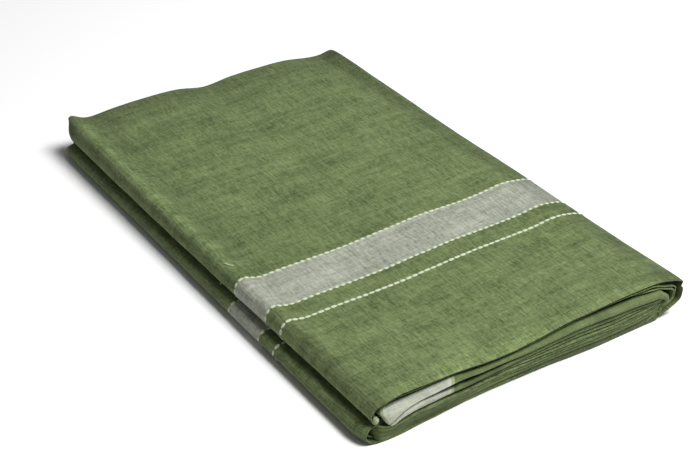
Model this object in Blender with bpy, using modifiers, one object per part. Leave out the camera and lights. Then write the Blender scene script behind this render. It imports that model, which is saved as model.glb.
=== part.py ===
"""A lungi folded flat for the shelf, in metres with +Z up.

The cloth is one woven length. It is folded in three across its width, which gives the pack's length,
and in eight along its length, which gives the pack's width. The last fold is the round spine at +X.
The two halves that it joins end at -X as an upper and a lower lobe with a groove between them.
The two outermost sheets have a wall each, and the layers inside them are one solid that shows their
folds at both ends. The thickest fold at the front end, -Y, is a sheet of its own.
The pack lies on z = 0, with +Y along it and its origin under its middle.
"""

import math
from collections import namedtuple

import bmesh
import bpy

MM = 0.001

# The cloth's cut, and how often it is folded
CLOTH_LENGTH = 2.00
CLOTH_WIDTH = 1.27
LAYERS_ALONG_LENGTH = 8
LAYERS_ACROSS_WIDTH = 3
SHEET_LENGTH = CLOTH_WIDTH / LAYERS_ACROSS_WIDTH
SHEET_WIDTH = CLOTH_LENGTH / LAYERS_ALONG_LENGTH

# Walls and gaps
WALL = 1.2 * MM
SEAM_GAP = 0.45 * MM
LAYER_PITCH = WALL + SEAM_GAP

# The pack's section: x runs from the left edge of the folded width, z from the table
GROOVE_ROOT = 24.0 * MM
GROOVE_LOW = 13.0 * MM
GROOVE_HIGH = 13.9 * MM
LOBE_PROUD = 2.0 * MM
SPINE_PROUD = 3.6 * MM
MIDDLE_X = (SHEET_WIDTH + SPINE_PROUD - LOBE_PROUD) / 2
SPINE_CENTRE = 234.0 * MM
SPINE_SLACK = 1.1 * MM

# The lobes' lean: their sides stand further in at the front end
LEAN = 5.6 * MM
LOWER_LEAN = 1.6 * MM
LEAN_POWER = 1.8
LEAN_REACH = 60.0 * MM

# The outer sheet's corners: the lower lobe's tucks in at the front and flattens at the back,
# and the upper one's stands straight up at the back
TUCK_DEPTH = 12.5 * MM
LOWER_FRONT_TUCK = 3.0 * MM
LOWER_BACK_FLATTENING = 0.3
UPPER_BACK_X = 6.0 * MM
CREST_DROOP = 1.0 * MM

# The ends: how far the second sheet and the folds stand out past the outer sheet's edge
SECOND_SETBACK = 2.4 * MM
SECOND_PROUD = 1.0 * MM
SECOND_PROUD_FROM = 170.0 * MM
SECOND_PROUD_TO = 230.0 * MM
UNDER_FLAT = 8.0 * MM
END_PROUD = 5.5 * MM
CREASE_DEPTH = 3.0 * MM
MIDDLE_FOLD = 1.6 * MM
TOP_FOLD_SHARE = 0.1
LOW_FOLD_SHARES = (0.6, 1.0, 0.8)

# The thick fold at the front is a sheet of its own, in a pocket of the layers behind it
POCKET_DEPTH = 14.0 * MM
POCKET_WALL = 0.04
POCKET_START = 2
FOLD_NOSE = 4.0 * MM
NOSE_STEPS = 6

# How finely each stretch of the section and the length is divided
STEPS = 2
LEAST_MITRE = 0.75
SAME_POINT = 0.004 * MM
END_STATIONS = (0.0, 0.008, 0.025, 0.07)
MIDDLE_STATIONS = (0.14, 0.22, 0.31, 0.40, 0.50, 0.60, 0.69, 0.78, 0.86)
SHEET_STATIONS = (*END_STATIONS, *MIDDLE_STATIONS, *(1.0 - along for along in reversed(END_STATIONS)))

# Heights of the outer sheet in millimetres. One row for each ridge or hollow that runs along the pack,
# one column for each place along it.
Relief = namedtuple("Relief", "x front band middle back")
TOP_RELIEF = (
    Relief(9.5, 27.6, 28.3, 29.6, 32.2),
    Relief(22.0, 28.8, 25.0, 26.4, 27.7),
    Relief(45.0, 28.6, 25.4, 27.3, 29.9),
    Relief(72.0, 28.2, 25.2, 28.2, 31.0),
    Relief(100.0, 27.0, 26.3, 28.4, 30.4),
    Relief(125.0, 27.6, 28.6, 27.6, 26.6),
    Relief(150.0, 29.5, 30.2, 29.4, 29.4),
    Relief(175.0, 31.0, 29.9, 29.8, 30.2),
    Relief(200.0, 32.3, 30.4, 30.0, 30.2),
    Relief(224.0, 32.8, 32.6, 29.8, 27.0),
)
SPINE_RELIEF = (
    Relief(236.0, 31.9, 31.4, 29.0, 26.4),
    Relief(247.2, 29.2, 28.8, 27.6, 28.0),
    Relief(252.6, 25.6, 24.2, 23.6, 24.4),
    Relief(253.6, 18.6, 17.6, 17.0, 17.0),
    Relief(251.8, 11.8, 10.8, 10.4, 10.2),
    Relief(245.5, 6.6, 5.6, 5.2, 5.0),
    Relief(235.5, 2.8, 2.0, 1.6, 1.5),
)
RELIEF_PLACES = (0.0, 0.32, 0.68, 1.0)

# Section of the upper lobe, from the groove's root round to the crest: x in millimetres, and the share
# of the way from the groove up to the crest
LobePoint = namedtuple("LobePoint", "x share")
UPPER_LOBE = (
    LobePoint(24.0, 0.0),
    LobePoint(14.0, 0.0),
    LobePoint(6.0, 0.01),
    LobePoint(2.6, 0.12),
    LobePoint(1.3, 0.40),
    LobePoint(2.4, 0.72),
    LobePoint(5.2, 0.92),
)
# Section of the lower lobe, from the table round into the groove: the share is of the groove's height
LOWER_LOBE = (
    LobePoint(14.0, 0.0),
    LobePoint(6.5, 0.0),
    LobePoint(0.6, 0.13),
    LobePoint(-2.0, 0.50),
    LobePoint(-0.4, 0.80),
    LobePoint(4.0, 0.95),
    LobePoint(13.0, 1.0),
    LobePoint(24.0, 1.0),
)

# How far the underside's and lower lobe's edges stand out past the top sheet's, at places across the pack
LowEdge = namedtuple("LowEdge", "x front back")
LOW_EDGES = (
    LowEdge(0.0, 3.6, -3.0),
    LowEdge(22.0, 3.8, -2.6),
    LowEdge(51.0, 0.4, -0.6),
    LowEdge(80.0, -1.4, 0.0),
    LowEdge(110.0, -2.8, 0.0),
    LowEdge(150.0, -1.8, 0.0),
    LowEdge(190.0, -1.4, 0.0),
    LowEdge(228.0, -2.6, -0.6),
    LowEdge(252.0, -0.8, -0.6),
)

# Folds that show at an end, one row for each place across the pack. Middle is the height of the groove's
# line in millimetres. The upper columns are shares of the way from it to the top sheet, the lower ones of
# the way down to the table. The proud columns say how far each fold stands out, as a share of END_PROUD.
EndFold = namedtuple("EndFold", "x middle inner_top thick_top low_one low_two thick_proud inner_proud low_proud")
FRONT_FOLDS = (
    EndFold(0.0, 13.4, 0.34, 0.93, 0.30, 0.62, 0.60, 0.40, 0.15),
    EndFold(25.0, 13.0, 0.30, 0.93, 0.30, 0.62, 1.00, 0.80, 0.25),
    EndFold(50.0, 12.4, 0.34, 0.92, 0.32, 0.66, 0.95, 0.70, 0.30),
    EndFold(80.0, 12.8, 0.42, 0.92, 0.36, 0.68, 0.80, 0.40, 0.35),
    EndFold(106.0, 13.0, 0.50, 0.90, 0.38, 0.70, 0.60, 0.25, 0.35),
    EndFold(135.0, 12.6, 0.44, 0.92, 0.34, 0.66, 0.75, 0.20, 0.30),
    EndFold(160.0, 12.4, 0.46, 0.93, 0.32, 0.64, 0.85, 0.15, 0.25),
    EndFold(195.0, 12.4, 0.36, 0.92, 0.30, 0.62, 0.85, 0.10, 0.20),
    EndFold(224.0, 13.0, 0.34, 0.88, 0.32, 0.64, 0.60, 0.10, 0.15),
    EndFold(256.0, 13.0, 0.34, 0.84, 0.34, 0.66, 0.20, 0.05, 0.05),
)
BACK_FOLDS = (
    EndFold(0.0, 13.4, 0.40, 0.92, 0.34, 0.66, 0.20, 0.35, 0.10),
    EndFold(25.0, 13.2, 0.42, 0.90, 0.36, 0.68, 0.40, 0.70, 0.20),
    EndFold(50.0, 13.0, 0.46, 0.88, 0.38, 0.70, 0.45, 0.90, 0.30),
    EndFold(80.0, 12.4, 0.50, 0.86, 0.36, 0.72, 0.40, 1.00, 0.35),
    EndFold(106.0, 12.2, 0.48, 0.88, 0.32, 0.68, 0.45, 0.90, 0.30),
    EndFold(135.0, 12.8, 0.42, 0.90, 0.30, 0.64, 0.50, 0.65, 0.25),
    EndFold(160.0, 13.0, 0.38, 0.90, 0.34, 0.66, 0.60, 0.60, 0.30),
    EndFold(195.0, 12.8, 0.40, 0.88, 0.36, 0.68, 0.55, 0.50, 0.30),
    EndFold(224.0, 12.6, 0.36, 0.86, 0.34, 0.66, 0.35, 0.25, 0.15),
    EndFold(256.0, 12.6, 0.32, 0.84, 0.34, 0.66, 0.15, 0.10, 0.05),
)
# Places across a fold's own thickness where it stands full out
RIDGE_START = 0.22
RIDGE_END = 0.78

# Where the section's stretches start and end, counted in steps from the groove's root
LOBE_STEPS = (len(UPPER_LOBE) + 1) // 2 * STEPS
BODY_STEPS = (len(TOP_RELIEF) - 2) * STEPS
FAN_STEPS = (len(SPINE_RELIEF) + 1) * STEPS
BODY_START = 2 * LOBE_STEPS
BODY_END = BODY_START + 2 * BODY_STEPS + FAN_STEPS
LOBE_END = TOP_RELIEF[1].x * MM
SPINE_START = TOP_RELIEF[-1].x * MM

# Finish of each piece
CLOTH_GREEN = (0.165, 0.235, 0.085, 1.0)
INNER_GREEN = (0.130, 0.190, 0.070, 1.0)
LAYER_GREEN = (0.110, 0.165, 0.060, 1.0)
FOLD_GREY = (0.420, 0.430, 0.370, 1.0)
CLOTH_ROUGHNESS = 0.9


def smooth_step(t):
    """Eases from 0 to 1."""
    t = min(max(t, 0.0), 1.0)
    return t * t * (3.0 - 2.0 * t)


def eased(places, values, at):
    """The value at a place, eased between the places on either side of it."""
    for low, high, first, second in zip(places, places[1:], values, values[1:]):
        if at <= high:
            return first + (second - first) * smooth_step((at - low) / (high - low))
    return values[-1]


def length_place(along):
    """World y of a share of the sheet's length."""
    return (along - 0.5) * SHEET_LENGTH


def near_end(distance):
    """1 at an end of the pack, falling to 0 where its corners stop tucking in."""
    return (1.0 - min(distance / TUCK_DEPTH, 1.0)) ** 2


def relief_point(row, along, lean):
    """Key point of one ridge or hollow of the outer sheet at a share of the length."""
    x = row.x * MM
    height = eased(RELIEF_PLACES, (row.front, row.band, row.middle, row.back), along) * MM
    droop = CREST_DROOP * near_end(min(along, 1.0 - along) * SHEET_LENGTH)
    return (x + lean * (1.0 - smooth_step(x / LEAN_REACH)), height - droop)


def section_keys(along):
    """Key points (x, z) of the outer sheet's section, from the groove's root over the top and back to it."""
    forward = (1.0 - along) ** LEAN_POWER
    lean = LEAN * forward
    front, back = near_end(along * SHEET_LENGTH), near_end((1.0 - along) * SHEET_LENGTH)
    top = [relief_point(row, along, lean) for row in TOP_RELIEF]
    crest = top[0][1]
    keys = []
    for point in UPPER_LOBE:
        x = point.x * MM
        upright = back * max(UPPER_BACK_X - x, 0.0)
        shift = 0.0 if x >= GROOVE_ROOT else lean + upright
        keys.append((x + shift, GROOVE_HIGH + (crest - GROOVE_HIGH) * point.share))
    keys.extend(top)
    keys.extend(relief_point(row, along, 0.0) for row in SPINE_RELIEF)
    keys.extend((row.x * MM, 0.0) for row in reversed(TOP_RELIEF[1:]))
    lowered = GROOVE_LOW * (1.0 - LOWER_BACK_FLATTENING * back)
    for point in LOWER_LOBE:
        x = point.x * MM
        tucked = LOWER_LEAN * forward + LOWER_FRONT_TUCK * front
        keys.append((x + tucked * smooth_step((GROOVE_ROOT - x) / GROOVE_ROOT), point.share * lowered))
    return keys


def through(keys):
    """A smooth line through the keys, with the same number of steps from each key to the next."""
    line = []
    last = len(keys) - 1
    for i in range(last):
        before, start, end, after = keys[max(i - 1, 0)], keys[i], keys[i + 1], keys[min(i + 2, last)]
        for step in range(STEPS):
            t = step / STEPS
            point = []
            for a, b, c, d in zip(before, start, end, after):
                point.append(
                    b
                    + 0.5 * t * (c - a)
                    + t * t * (a - 2.5 * b + 2.0 * c - 0.5 * d)
                    + 0.5 * t * t * t * (3.0 * b - 3.0 * c + d - a)
                )
            line.append((point[0], max(point[1], 0.0)))
    line.append(keys[-1])
    return line


def spine_share(index):
    """1 at the middle of the spine, 0 where the section is flat."""
    share = (index - BODY_START - BODY_STEPS) / FAN_STEPS
    return math.sin(math.pi * min(max(share, 0.0), 1.0))


def unit(first, second):
    """Direction from one point of the section to the next."""
    run, rise = second[0] - first[0], second[1] - first[1]
    size = math.hypot(run, rise)
    return run / size, rise / size


def inset_section(along, inset, slack):
    """The outer section moved inwards by the inset, and by the slack as well round the spine."""
    line = through(section_keys(along))
    ways = [unit(first, second) for first, second in zip(line, line[1:])]
    moved = []
    for i, (x, z) in enumerate(line):
        into, out = ways[max(i - 1, 0)], ways[min(i, len(ways) - 1)]
        run, rise = into[0] + out[0], into[1] + out[1]
        size = math.hypot(run, rise)
        mitre = max(size / 2, LEAST_MITRE)
        distance = (inset + slack * spine_share(i)) / mitre / size
        moved.append((x + distance * rise, z - distance * run))
    return moved


def world(x, y, z):
    """A point of the section in the part's own frame, whose origin is under the pack's middle."""
    return (x - MIDDLE_X, y, z)


def add_object(name, vertices, faces, colour, parts):
    """A named object of the pack, smooth but for its edges, with its own cloth material."""
    mesh = bpy.data.meshes.new(name)
    mesh.from_pydata(vertices, [], faces)
    built = bmesh.new()
    built.from_mesh(mesh)
    bmesh.ops.remove_doubles(built, verts=built.verts, dist=SAME_POINT)
    built.to_mesh(mesh)
    built.free()
    mesh.shade_smooth()
    material = bpy.data.materials.new(name)
    material.use_nodes = True
    shader = material.node_tree.nodes["Principled BSDF"]
    shader.inputs["Base Color"].default_value = colour
    shader.inputs["Roughness"].default_value = CLOTH_ROUGHNESS
    shader.inputs["Metallic"].default_value = 0.0
    mesh.materials.append(material)
    piece = bpy.data.objects.new(name, mesh)
    parts.objects.link(piece)
    return piece


def add_wall(sheet):
    """Gives an open surface its wall, on the side away from its normals."""
    wall = sheet.modifiers.new("Wall", "SOLIDIFY")
    wall.thickness = WALL
    wall.offset = -1.0
    wall.use_even_offset = True


def moved_out(edge, inner, reach_at, end):
    """A sheet's edge row carried on straight past the row inside it, or drawn back where it is negative."""
    step = abs(edge[0][1] - inner[0][1])
    row = []
    for outer_point, inner_point in zip(edge, inner):
        share = 1.0 + reach_at(outer_point[0] + MIDDLE_X, outer_point[2], end) / step
        row.append(between(inner_point, outer_point, share))
    return row


def wrapped_sheet(name, colour, parts, inset, slack, reach_at, skipped):
    """A sheet that goes round the pack, as an open surface given its wall by Solidify."""
    rows = []
    for along in SHEET_STATIONS:
        line = inset_section(along, inset, slack)
        rows.append([world(x, length_place(along), z) for x, z in line[skipped : len(line) - skipped]])
    rows[0] = moved_out(rows[0], rows[1], reach_at, "front")
    rows[-1] = moved_out(rows[-1], rows[-2], reach_at, "back")
    vertices, faces = [], []
    grid(rows, vertices, faces)
    add_wall(add_object(name, vertices, faces, colour, parts))


def outer_reach(x, z, end):
    """The top sheet's edge is where the folded width ends, and the underside's wanders past it."""
    places = [row.x * MM for row in LOW_EDGES]
    reach = eased(places, [getattr(row, end) * MM for row in LOW_EDGES], x)
    return reach * (1.0 - smooth_step((z - UNDER_FLAT) / (GROOVE_LOW - UNDER_FLAT)))


def second_reach(x, _z, _end):
    """The second sheet's edges stand back in the crease, and come out round the spine."""
    share = smooth_step((x - SECOND_PROUD_FROM) / (SECOND_PROUD_TO - SECOND_PROUD_FROM))
    return SECOND_PROUD * share - SECOND_SETBACK * (1.0 - share)


def fold_values(folds, x):
    """One row of an end's folds, eased to a place across the pack."""
    places = [row.x * MM for row in folds]
    return EndFold(*(eased(places, [row[k] for row in folds], x) for k in range(len(EndFold._fields))))


def between(first, second, share):
    """The point at a share of the way between two points of the section."""
    return tuple(a + (b - a) * share for a, b in zip(first, second))


def ridge(proud):
    """A fold that stands out between its creases: how far out at places across its thickness."""
    return (0.0, -CREASE_DEPTH), (RIDGE_START, proud * END_PROUD), (RIDGE_END, proud * END_PROUD)


def pocket():
    """The pocket that holds a fold of its own."""
    return (0.0, -CREASE_DEPTH), (POCKET_WALL, -POCKET_DEPTH), (1.0 - POCKET_WALL, -POCKET_DEPTH)


def across_folds(stops, shapes, fade):
    """Points (x, z, how far out) across the folds between successive stops, which are their creases."""
    points = []
    for start, end, shape in zip(stops, stops[1:], shapes):
        points.extend((*between(start, end, share), fade * reach) for share, reach in shape)
    points.append((*stops[-1], 0.0))
    return points


def upper_stops(inner, outer, row):
    """The creases across the upper half, from the groove's line to the top sheet."""
    return inner, between(inner, outer, row.inner_top), between(inner, outer, row.thick_top), outer


def front_upper_folds(inner, outer, row, fade):
    """Points across the front end's upper half, with a pocket for the thick fold."""
    shapes = (ridge(row.inner_proud), pocket(), ridge(TOP_FOLD_SHARE * row.thick_proud))
    return across_folds(upper_stops(inner, outer, row), shapes, fade)


def back_upper_folds(inner, outer, row, fade):
    """Points across the back end's upper half."""
    prouds = (row.inner_proud, row.thick_proud, TOP_FOLD_SHARE * row.thick_proud)
    return across_folds(upper_stops(inner, outer, row), [ridge(proud) for proud in prouds], fade)


def lower_folds(inner, outer, row, fade):
    """Points across an end's lower half, from the groove's line to the table."""
    stops = (inner, between(inner, outer, row.low_one), between(inner, outer, row.low_two), outer)
    return across_folds(stops, [ridge(share * row.low_proud) for share in LOW_FOLD_SHARES], fade)


def lobe_columns(loop, turn, towards_groove, folds, across):
    """Columns of one lobe's end, from its tip to the groove's root, each from the groove to the outside."""
    columns = []
    for i in range(LOBE_STEPS + 1):
        share = i / LOBE_STEPS
        row = fold_values(folds, share * LOBE_END)
        inner, outer = loop[turn + towards_groove * i], loop[turn - towards_groove * i]
        column = across(inner, outer, row, min(POCKET_START * share, 1.0))
        columns.append([(*inner, 0.0), *column[1:]])
    return columns


def body_creases(loop, folds, j):
    """One column of the body: the creases on either side of the middle, the top, the low and the folds' row."""
    x = LOBE_END + (SPINE_START - LOBE_END) * j / BODY_STEPS
    row = fold_values(folds, x)
    high_crease = (x, row.middle * MM + MIDDLE_FOLD / 2)
    low_crease = (x, row.middle * MM - MIDDLE_FOLD / 2)
    if j == 0:
        high_crease, low_crease = loop[0], loop[-1]
    return high_crease, low_crease, loop[BODY_START + j], loop[BODY_END - j], row


def body_columns(loop, folds, across_upper):
    """Columns of the body's end, each from the table up to the top sheet."""
    columns = []
    for j in range(BODY_STEPS + 1):
        high_crease, low_crease, top, low, row = body_creases(loop, folds, j)
        depth = 0.0 if j == 0 else -CREASE_DEPTH
        lower, upper = lower_folds(low_crease, low, row, 1.0), across_upper(high_crease, top, row, 1.0)
        middle = [(*between(low_crease, high_crease, share), depth) for share in (0.0, 0.5, 1.0)]
        columns.append([*reversed(lower[1:]), *middle, *upper[1:]])
    return columns


def fan_columns(loop, folds, across_upper):
    """Columns of the spine's end, fanned out round the innermost fold, each from it to the outside."""
    columns = []
    level = fold_values(folds, SPINE_START).middle * MM
    for k in range(FAN_STEPS + 1):
        outer = loop[BODY_START + BODY_STEPS + k]
        turn = math.pi * k / FAN_STEPS
        start = (SPINE_START + (SPINE_CENTRE - SPINE_START) * math.sin(turn), level)
        inner = (start[0] + MIDDLE_FOLD / 2 * math.sin(turn), level + MIDDLE_FOLD / 2 * math.cos(turn))
        row = fold_values(folds, SPINE_START + (SHEET_WIDTH - SPINE_START) * math.sin(turn))
        upper, lower = across_upper(inner, outer, row, 1.0), lower_folds(inner, outer, row, 1.0)
        share = smooth_step(k / FAN_STEPS)
        columns.append([(*start, -CREASE_DEPTH), *(between(u, v, share) for u, v in zip(upper, lower))])
    return columns


def core_loop(along):
    """Section of the layers inside the two outer sheets."""
    loop = inset_section(along, 2.0 * LAYER_PITCH, 2.0 * SPINE_SLACK)
    for end in (0, -1):
        loop[end] = (loop[end][0] + 2.0 * SEAM_GAP, loop[end][1])
    return loop


def grid(rows, vertices, faces):
    """Adds rows of points to the vertices, and the quads between them to the faces."""
    first, across = len(vertices), len(rows[0])
    vertices.extend(point for row in rows for point in row)
    for j in range(len(rows) - 1):
        for i in range(across - 1):
            corner = first + j * across + i
            faces.append((corner, corner + 1, corner + across + 1, corner + across))


def folded_layers(parts):
    """The layers inside the outer sheets, as one rounded solid whose two ends show their folds."""
    vertices, faces = [], []
    loops = [core_loop(along) for along in SHEET_STATIONS]
    rings = []
    for along, loop in zip(SHEET_STATIONS, loops):
        closed = [*loop, between(loop[-1], loop[0], 0.5), loop[0]]
        rings.append([world(x, length_place(along), z) for x, z in closed])
    grid(rings, vertices, faces)
    ends = (
        (loops[0], length_place(0.0), -1.0, FRONT_FOLDS, front_upper_folds),
        (loops[-1], length_place(1.0), 1.0, BACK_FOLDS, back_upper_folds),
    )
    for loop, edge, outward, folds, across_upper in ends:
        blocks = (
            lobe_columns(loop, LOBE_STEPS, -1, folds, across_upper),
            lobe_columns(loop, BODY_END + LOBE_STEPS, 1, folds, lower_folds),
            body_columns(loop, folds, across_upper),
            fan_columns(loop, folds, across_upper),
        )
        for columns in blocks:
            rows = [[world(x, edge + outward * reach, z) for x, z, reach in column] for column in columns]
            grid(rows, vertices, faces)
    core = add_object("folded_layers", vertices, faces, LAYER_GREEN, parts)
    built = bmesh.new()
    built.from_mesh(core.data)
    bmesh.ops.recalc_face_normals(built, faces=built.faces)
    if built.calc_volume(signed=True) < 0.0:
        bmesh.ops.reverse_faces(built, faces=built.faces)
    built.to_mesh(core.data)
    built.free()
    return core


def front_fold(parts):
    """The thick fold that shows at the front end, with its nose out past the top sheet's edge."""
    loop = core_loop(0.0)
    edge = length_place(0.0)
    columns = []
    for i in range(LOBE_STEPS // POCKET_START, LOBE_STEPS):
        row = fold_values(FRONT_FOLDS, i / LOBE_STEPS * LOBE_END)
        columns.append((loop[LOBE_STEPS - i], loop[LOBE_STEPS + i], row))
    for j in range(BODY_STEPS + 1):
        high_crease, _, top, _, row = body_creases(loop, FRONT_FOLDS, j)
        columns.append((high_crease, top, row))
    rows = []
    for inner, outer, row in columns:
        _, low, high, _ = upper_stops(inner, outer, row)
        margin = POCKET_WALL + SEAM_GAP / math.dist(low, high)
        nose = edge - row.thick_proud * END_PROUD
        inner_edge = edge + POCKET_DEPTH - CREASE_DEPTH
        profile = [(1.0 - margin, inner_edge)]
        for step in range(NOSE_STEPS + 1):
            turn = math.pi * step / NOSE_STEPS
            share = 0.5 + (0.5 - margin) * math.cos(turn)
            profile.append((share, nose + FOLD_NOSE * (1.0 - math.sin(turn))))
        profile.append((margin, inner_edge))
        rows.append([world(x, y, z) for (x, z), y in ((between(low, high, share), y) for share, y in profile)])
    vertices, faces = [], []
    grid(rows, vertices, faces)
    add_wall(add_object("front_fold", vertices, faces, FOLD_GREY, parts))


def main():
    for leftover in list(bpy.data.objects):
        bpy.data.objects.remove(leftover)
    parts = bpy.data.collections.new("folded_lungi")
    bpy.context.scene.collection.children.link(parts)
    wrapped_sheet("outer_wrap", CLOTH_GREEN, parts, 0.0, 0.0, outer_reach, 0)
    wrapped_sheet("second_wrap", INNER_GREEN, parts, LAYER_PITCH, SPINE_SLACK, second_reach, 2 * STEPS)
    folded_layers(parts)
    front_fold(parts)


main()
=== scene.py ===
"""The looks of a lungi folded flat: its cloth, its folds at both ends, its border band and a plain studio.

The pack's lengths are millimetres until to_world turns its points into metres, with +Z up. Across the
pack, x runs from the left edge of the folded width to its last fold. Along it, y runs from the front end
to the back.
"""

import math
from collections import namedtuple

import bmesh
import bpy
import numpy as np
from bpy.props import BoolProperty, FloatProperty, FloatVectorProperty, IntProperty, PointerProperty
from mathutils import Matrix, Vector


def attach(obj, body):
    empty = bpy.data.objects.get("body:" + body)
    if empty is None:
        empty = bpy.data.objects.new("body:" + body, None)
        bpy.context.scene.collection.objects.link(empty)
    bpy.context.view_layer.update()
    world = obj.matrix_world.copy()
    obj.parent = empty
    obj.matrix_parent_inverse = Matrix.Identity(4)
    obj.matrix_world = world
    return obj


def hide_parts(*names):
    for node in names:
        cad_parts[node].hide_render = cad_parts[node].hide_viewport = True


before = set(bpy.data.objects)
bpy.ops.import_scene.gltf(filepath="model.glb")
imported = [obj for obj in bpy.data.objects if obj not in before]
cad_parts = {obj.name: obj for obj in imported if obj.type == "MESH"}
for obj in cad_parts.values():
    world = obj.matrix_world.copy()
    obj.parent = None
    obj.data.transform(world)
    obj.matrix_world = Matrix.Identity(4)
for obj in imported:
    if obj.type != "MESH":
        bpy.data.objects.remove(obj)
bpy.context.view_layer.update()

bl_info = {
    "name": "Folded Lungi",
    "version": (1, 0, 0),
    "blender": (4, 5, 0),
    "location": "View3D > Sidebar > Lungi",
    "description": "Builds the cloth, folds and border of a folded lungi round its packed solids",
    "category": "Object",
}

MM = 0.001
BODY = "root"
OUTER_NAME = "outer_cloth"
SECOND_NAME = "second_cloth"
STACK_NAME = "layer_stack"


def table(fields, rows):
    """Rows of values under named columns."""
    kind = namedtuple("Row", fields)
    return [kind(*row) for row in rows]


# The cloth's cut in metres, and the size of the pack that it is folded to
CLOTH_LENGTH = 2.00
CLOTH_WIDTH = 1.27
PACK_LENGTH = CLOTH_WIDTH / 3 / MM
PACK_WIDTH = CLOTH_LENGTH / 8 / MM

# The pack's section
GROOVE_ROOT = 24.0
GROOVE_LOW = 13.0
GROOVE_HIGH = 13.9
GROOVE_MIDDLE = 13.5
LOBE_PROUD = 2.0
SPINE_PROUD = 3.6
MIDDLE_X = (PACK_WIDTH + SPINE_PROUD - LOBE_PROUD) / 2

# The lobes' lean: their sides stand further in at the front end
LEAN = 5.6
LOWER_LEAN = 1.6
LEAN_POWER = 1.8
LEAN_REACH = 60.0

# The corners: the lower lobe's tucks in at the front and flattens at the back, the upper one's stands up
TUCK_DEPTH = 12.5
LOWER_FRONT_TUCK = 3.0
LOWER_BACK_FLATTENING = 0.3
LOWER_BACK_TUCK = 2.0
UPPER_BACK_X = 6.0
UPPER_BACK_TUCK = 2.0
UPPER_TUCK_SHARE = 0.4
CREST_DROOP = 1.0
UNDER_FLAT = 8.0

# Sheets: thickness, how their edges turn under at the ends, and how deep each lies under the outer one
CLOTH_THICKNESS = 0.28
OUTER_TURN = 0.34
INNER_TURN = 0.42
TURN_DEPTH = 7.0
TURN_STEPS = 7
INSIDE_ROWS = (0.35, 1.0)
INNER_ROWS = TURN_STEPS + len(INSIDE_ROWS)
SECOND_INSET = 2.3
SECOND_SLACK = 5.2
SECOND_SETBACK = 1.6
SECOND_PROUD = -0.5
TURN_SOFTENING = 14
STACK_INSET = 4.4
STACK_SLACK = 3.6
STACK_SETBACK = 11.0
STACK_ROWS = 60
SEAM_MERGE = 0.02

# The share of its slack that a sheet takes at the spine's shoulder, and what it takes more low down
SHOULDER_SLACK = 0.38
LOW_SLACK = 0.36

# Where something starts and the distance over which it grows, negative where it grows the other way
LOW_SLACK_HEIGHT = (28.0, -7.0)
SLACK_X = (226.0, 14.0)
SOFT_TURN_X = (234.0, 8.0)
SECOND_PROUD_X = (192.0, 30.0)
SECOND_PROUD_HEIGHT = (5.0, 5.0)
GROOVE_X = (GROOVE_ROOT, -8.0)
GROOVE_NEAR = (3.0, -2.0)
SOFT_HEIGHT = (1.0, 6.0)
CREASE_HEIGHT = (20.0, 4.0)
CORNER_X = (244.0, 5.0)
TOP_TONE_HEIGHT = (17.0, 7.0)
SIDE_TONE_X = (14.0, -6.0)
SIDE_TONE_HEIGHT = (13.6, 0.8)
EDGE_TONE_Y = (14.0, -14.0)

# The same at the ends of each crease and tone, as shares of its length, and how squarely its sides fall away
CREASE_ENDS = (-0.075, 0.3)
CREASE_POWER = 2
TONE_ENDS = (0.0, 0.2)
TONE_POWER = 4

# Heights of the outer sheet along each ridge or hollow, at four places along the pack
RELIEF = "x front band middle back"
TOP_RELIEF = table(RELIEF, [
    (9.5, 26.4, 28.3, 29.6, 32.2),
    (22.0, 28.8, 25.0, 26.4, 27.7),
    (45.0, 28.6, 25.4, 27.3, 29.9),
    (72.0, 28.3, 25.2, 28.2, 31.0),
    (100.0, 27.0, 26.3, 28.4, 30.4),
    (125.0, 27.9, 28.6, 27.6, 26.6),
    (150.0, 30.6, 30.2, 29.4, 29.4),
    (175.0, 32.3, 29.9, 29.8, 30.2),
    (200.0, 33.4, 30.4, 30.0, 30.2),
    (224.0, 33.7, 32.6, 29.8, 27.0),
])
SPINE_RELIEF = table(RELIEF, [
    (236.0, 32.4, 31.4, 29.0, 26.4),
    (247.2, 29.4, 28.8, 27.6, 28.0),
    (252.6, 25.8, 24.2, 23.6, 24.4),
    (253.6, 18.4, 17.6, 17.0, 17.0),
    (251.8, 12.4, 10.8, 10.4, 10.2),
    (245.5, 7.6, 5.6, 5.2, 5.0),
    (235.5, 3.8, 2.0, 1.6, 1.5),
])
RELIEF_PLACES = (0.0, 0.32, 0.68, 1.0)

# Sections of the two lobes: x, and the share of the way up from the groove or from the floor
LOBE = "x share"
UPPER_LOBE = table(LOBE, [
    (24.0, 0.0),
    (14.0, 0.0),
    (6.0, 0.01),
    (2.6, 0.12),
    (1.3, 0.40),
    (2.4, 0.75),
    (5.2, 0.945),
])
LOWER_LOBE = table(LOBE, [
    (14.0, 0.0),
    (6.5, 0.0),
    (0.6, 0.13),
    (-2.0, 0.50),
    (-0.4, 0.80),
    (4.0, 0.95),
    (13.0, 1.0),
    (24.0, 1.0),
])

# How far the low edges stand out past the top's, how far in that fades out, and how ragged all edges are
LOW_EDGES = table("x front back", [
    (0.0, 0.3, -3.0),
    (6.0, 1.5, -2.9),
    (11.0, 2.3, -2.8),
    (18.0, 2.9, -2.7),
    (26.0, 2.8, -2.4),
    (36.0, 2.0, -1.8),
    (51.0, 0.8, -0.6),
    (66.0, -0.5, -0.3),
    (80.0, -1.8, 0.0),
    (108.0, -3.6, 0.0),
    (130.0, -3.8, 0.0),
    (160.0, -3.4, 0.0),
    (190.0, -2.8, 0.0),
    (210.0, -3.0, -0.3),
    (226.0, -3.6, -0.6),
    (232.0, -2.0, -0.6),
    (252.0, -0.8, -0.6),
])
REACH_FADE = 14.0
RAGGED_REACH = 0.35
RAGGED_CELL = 23.0
RAGGED_SEED = 31

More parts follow.
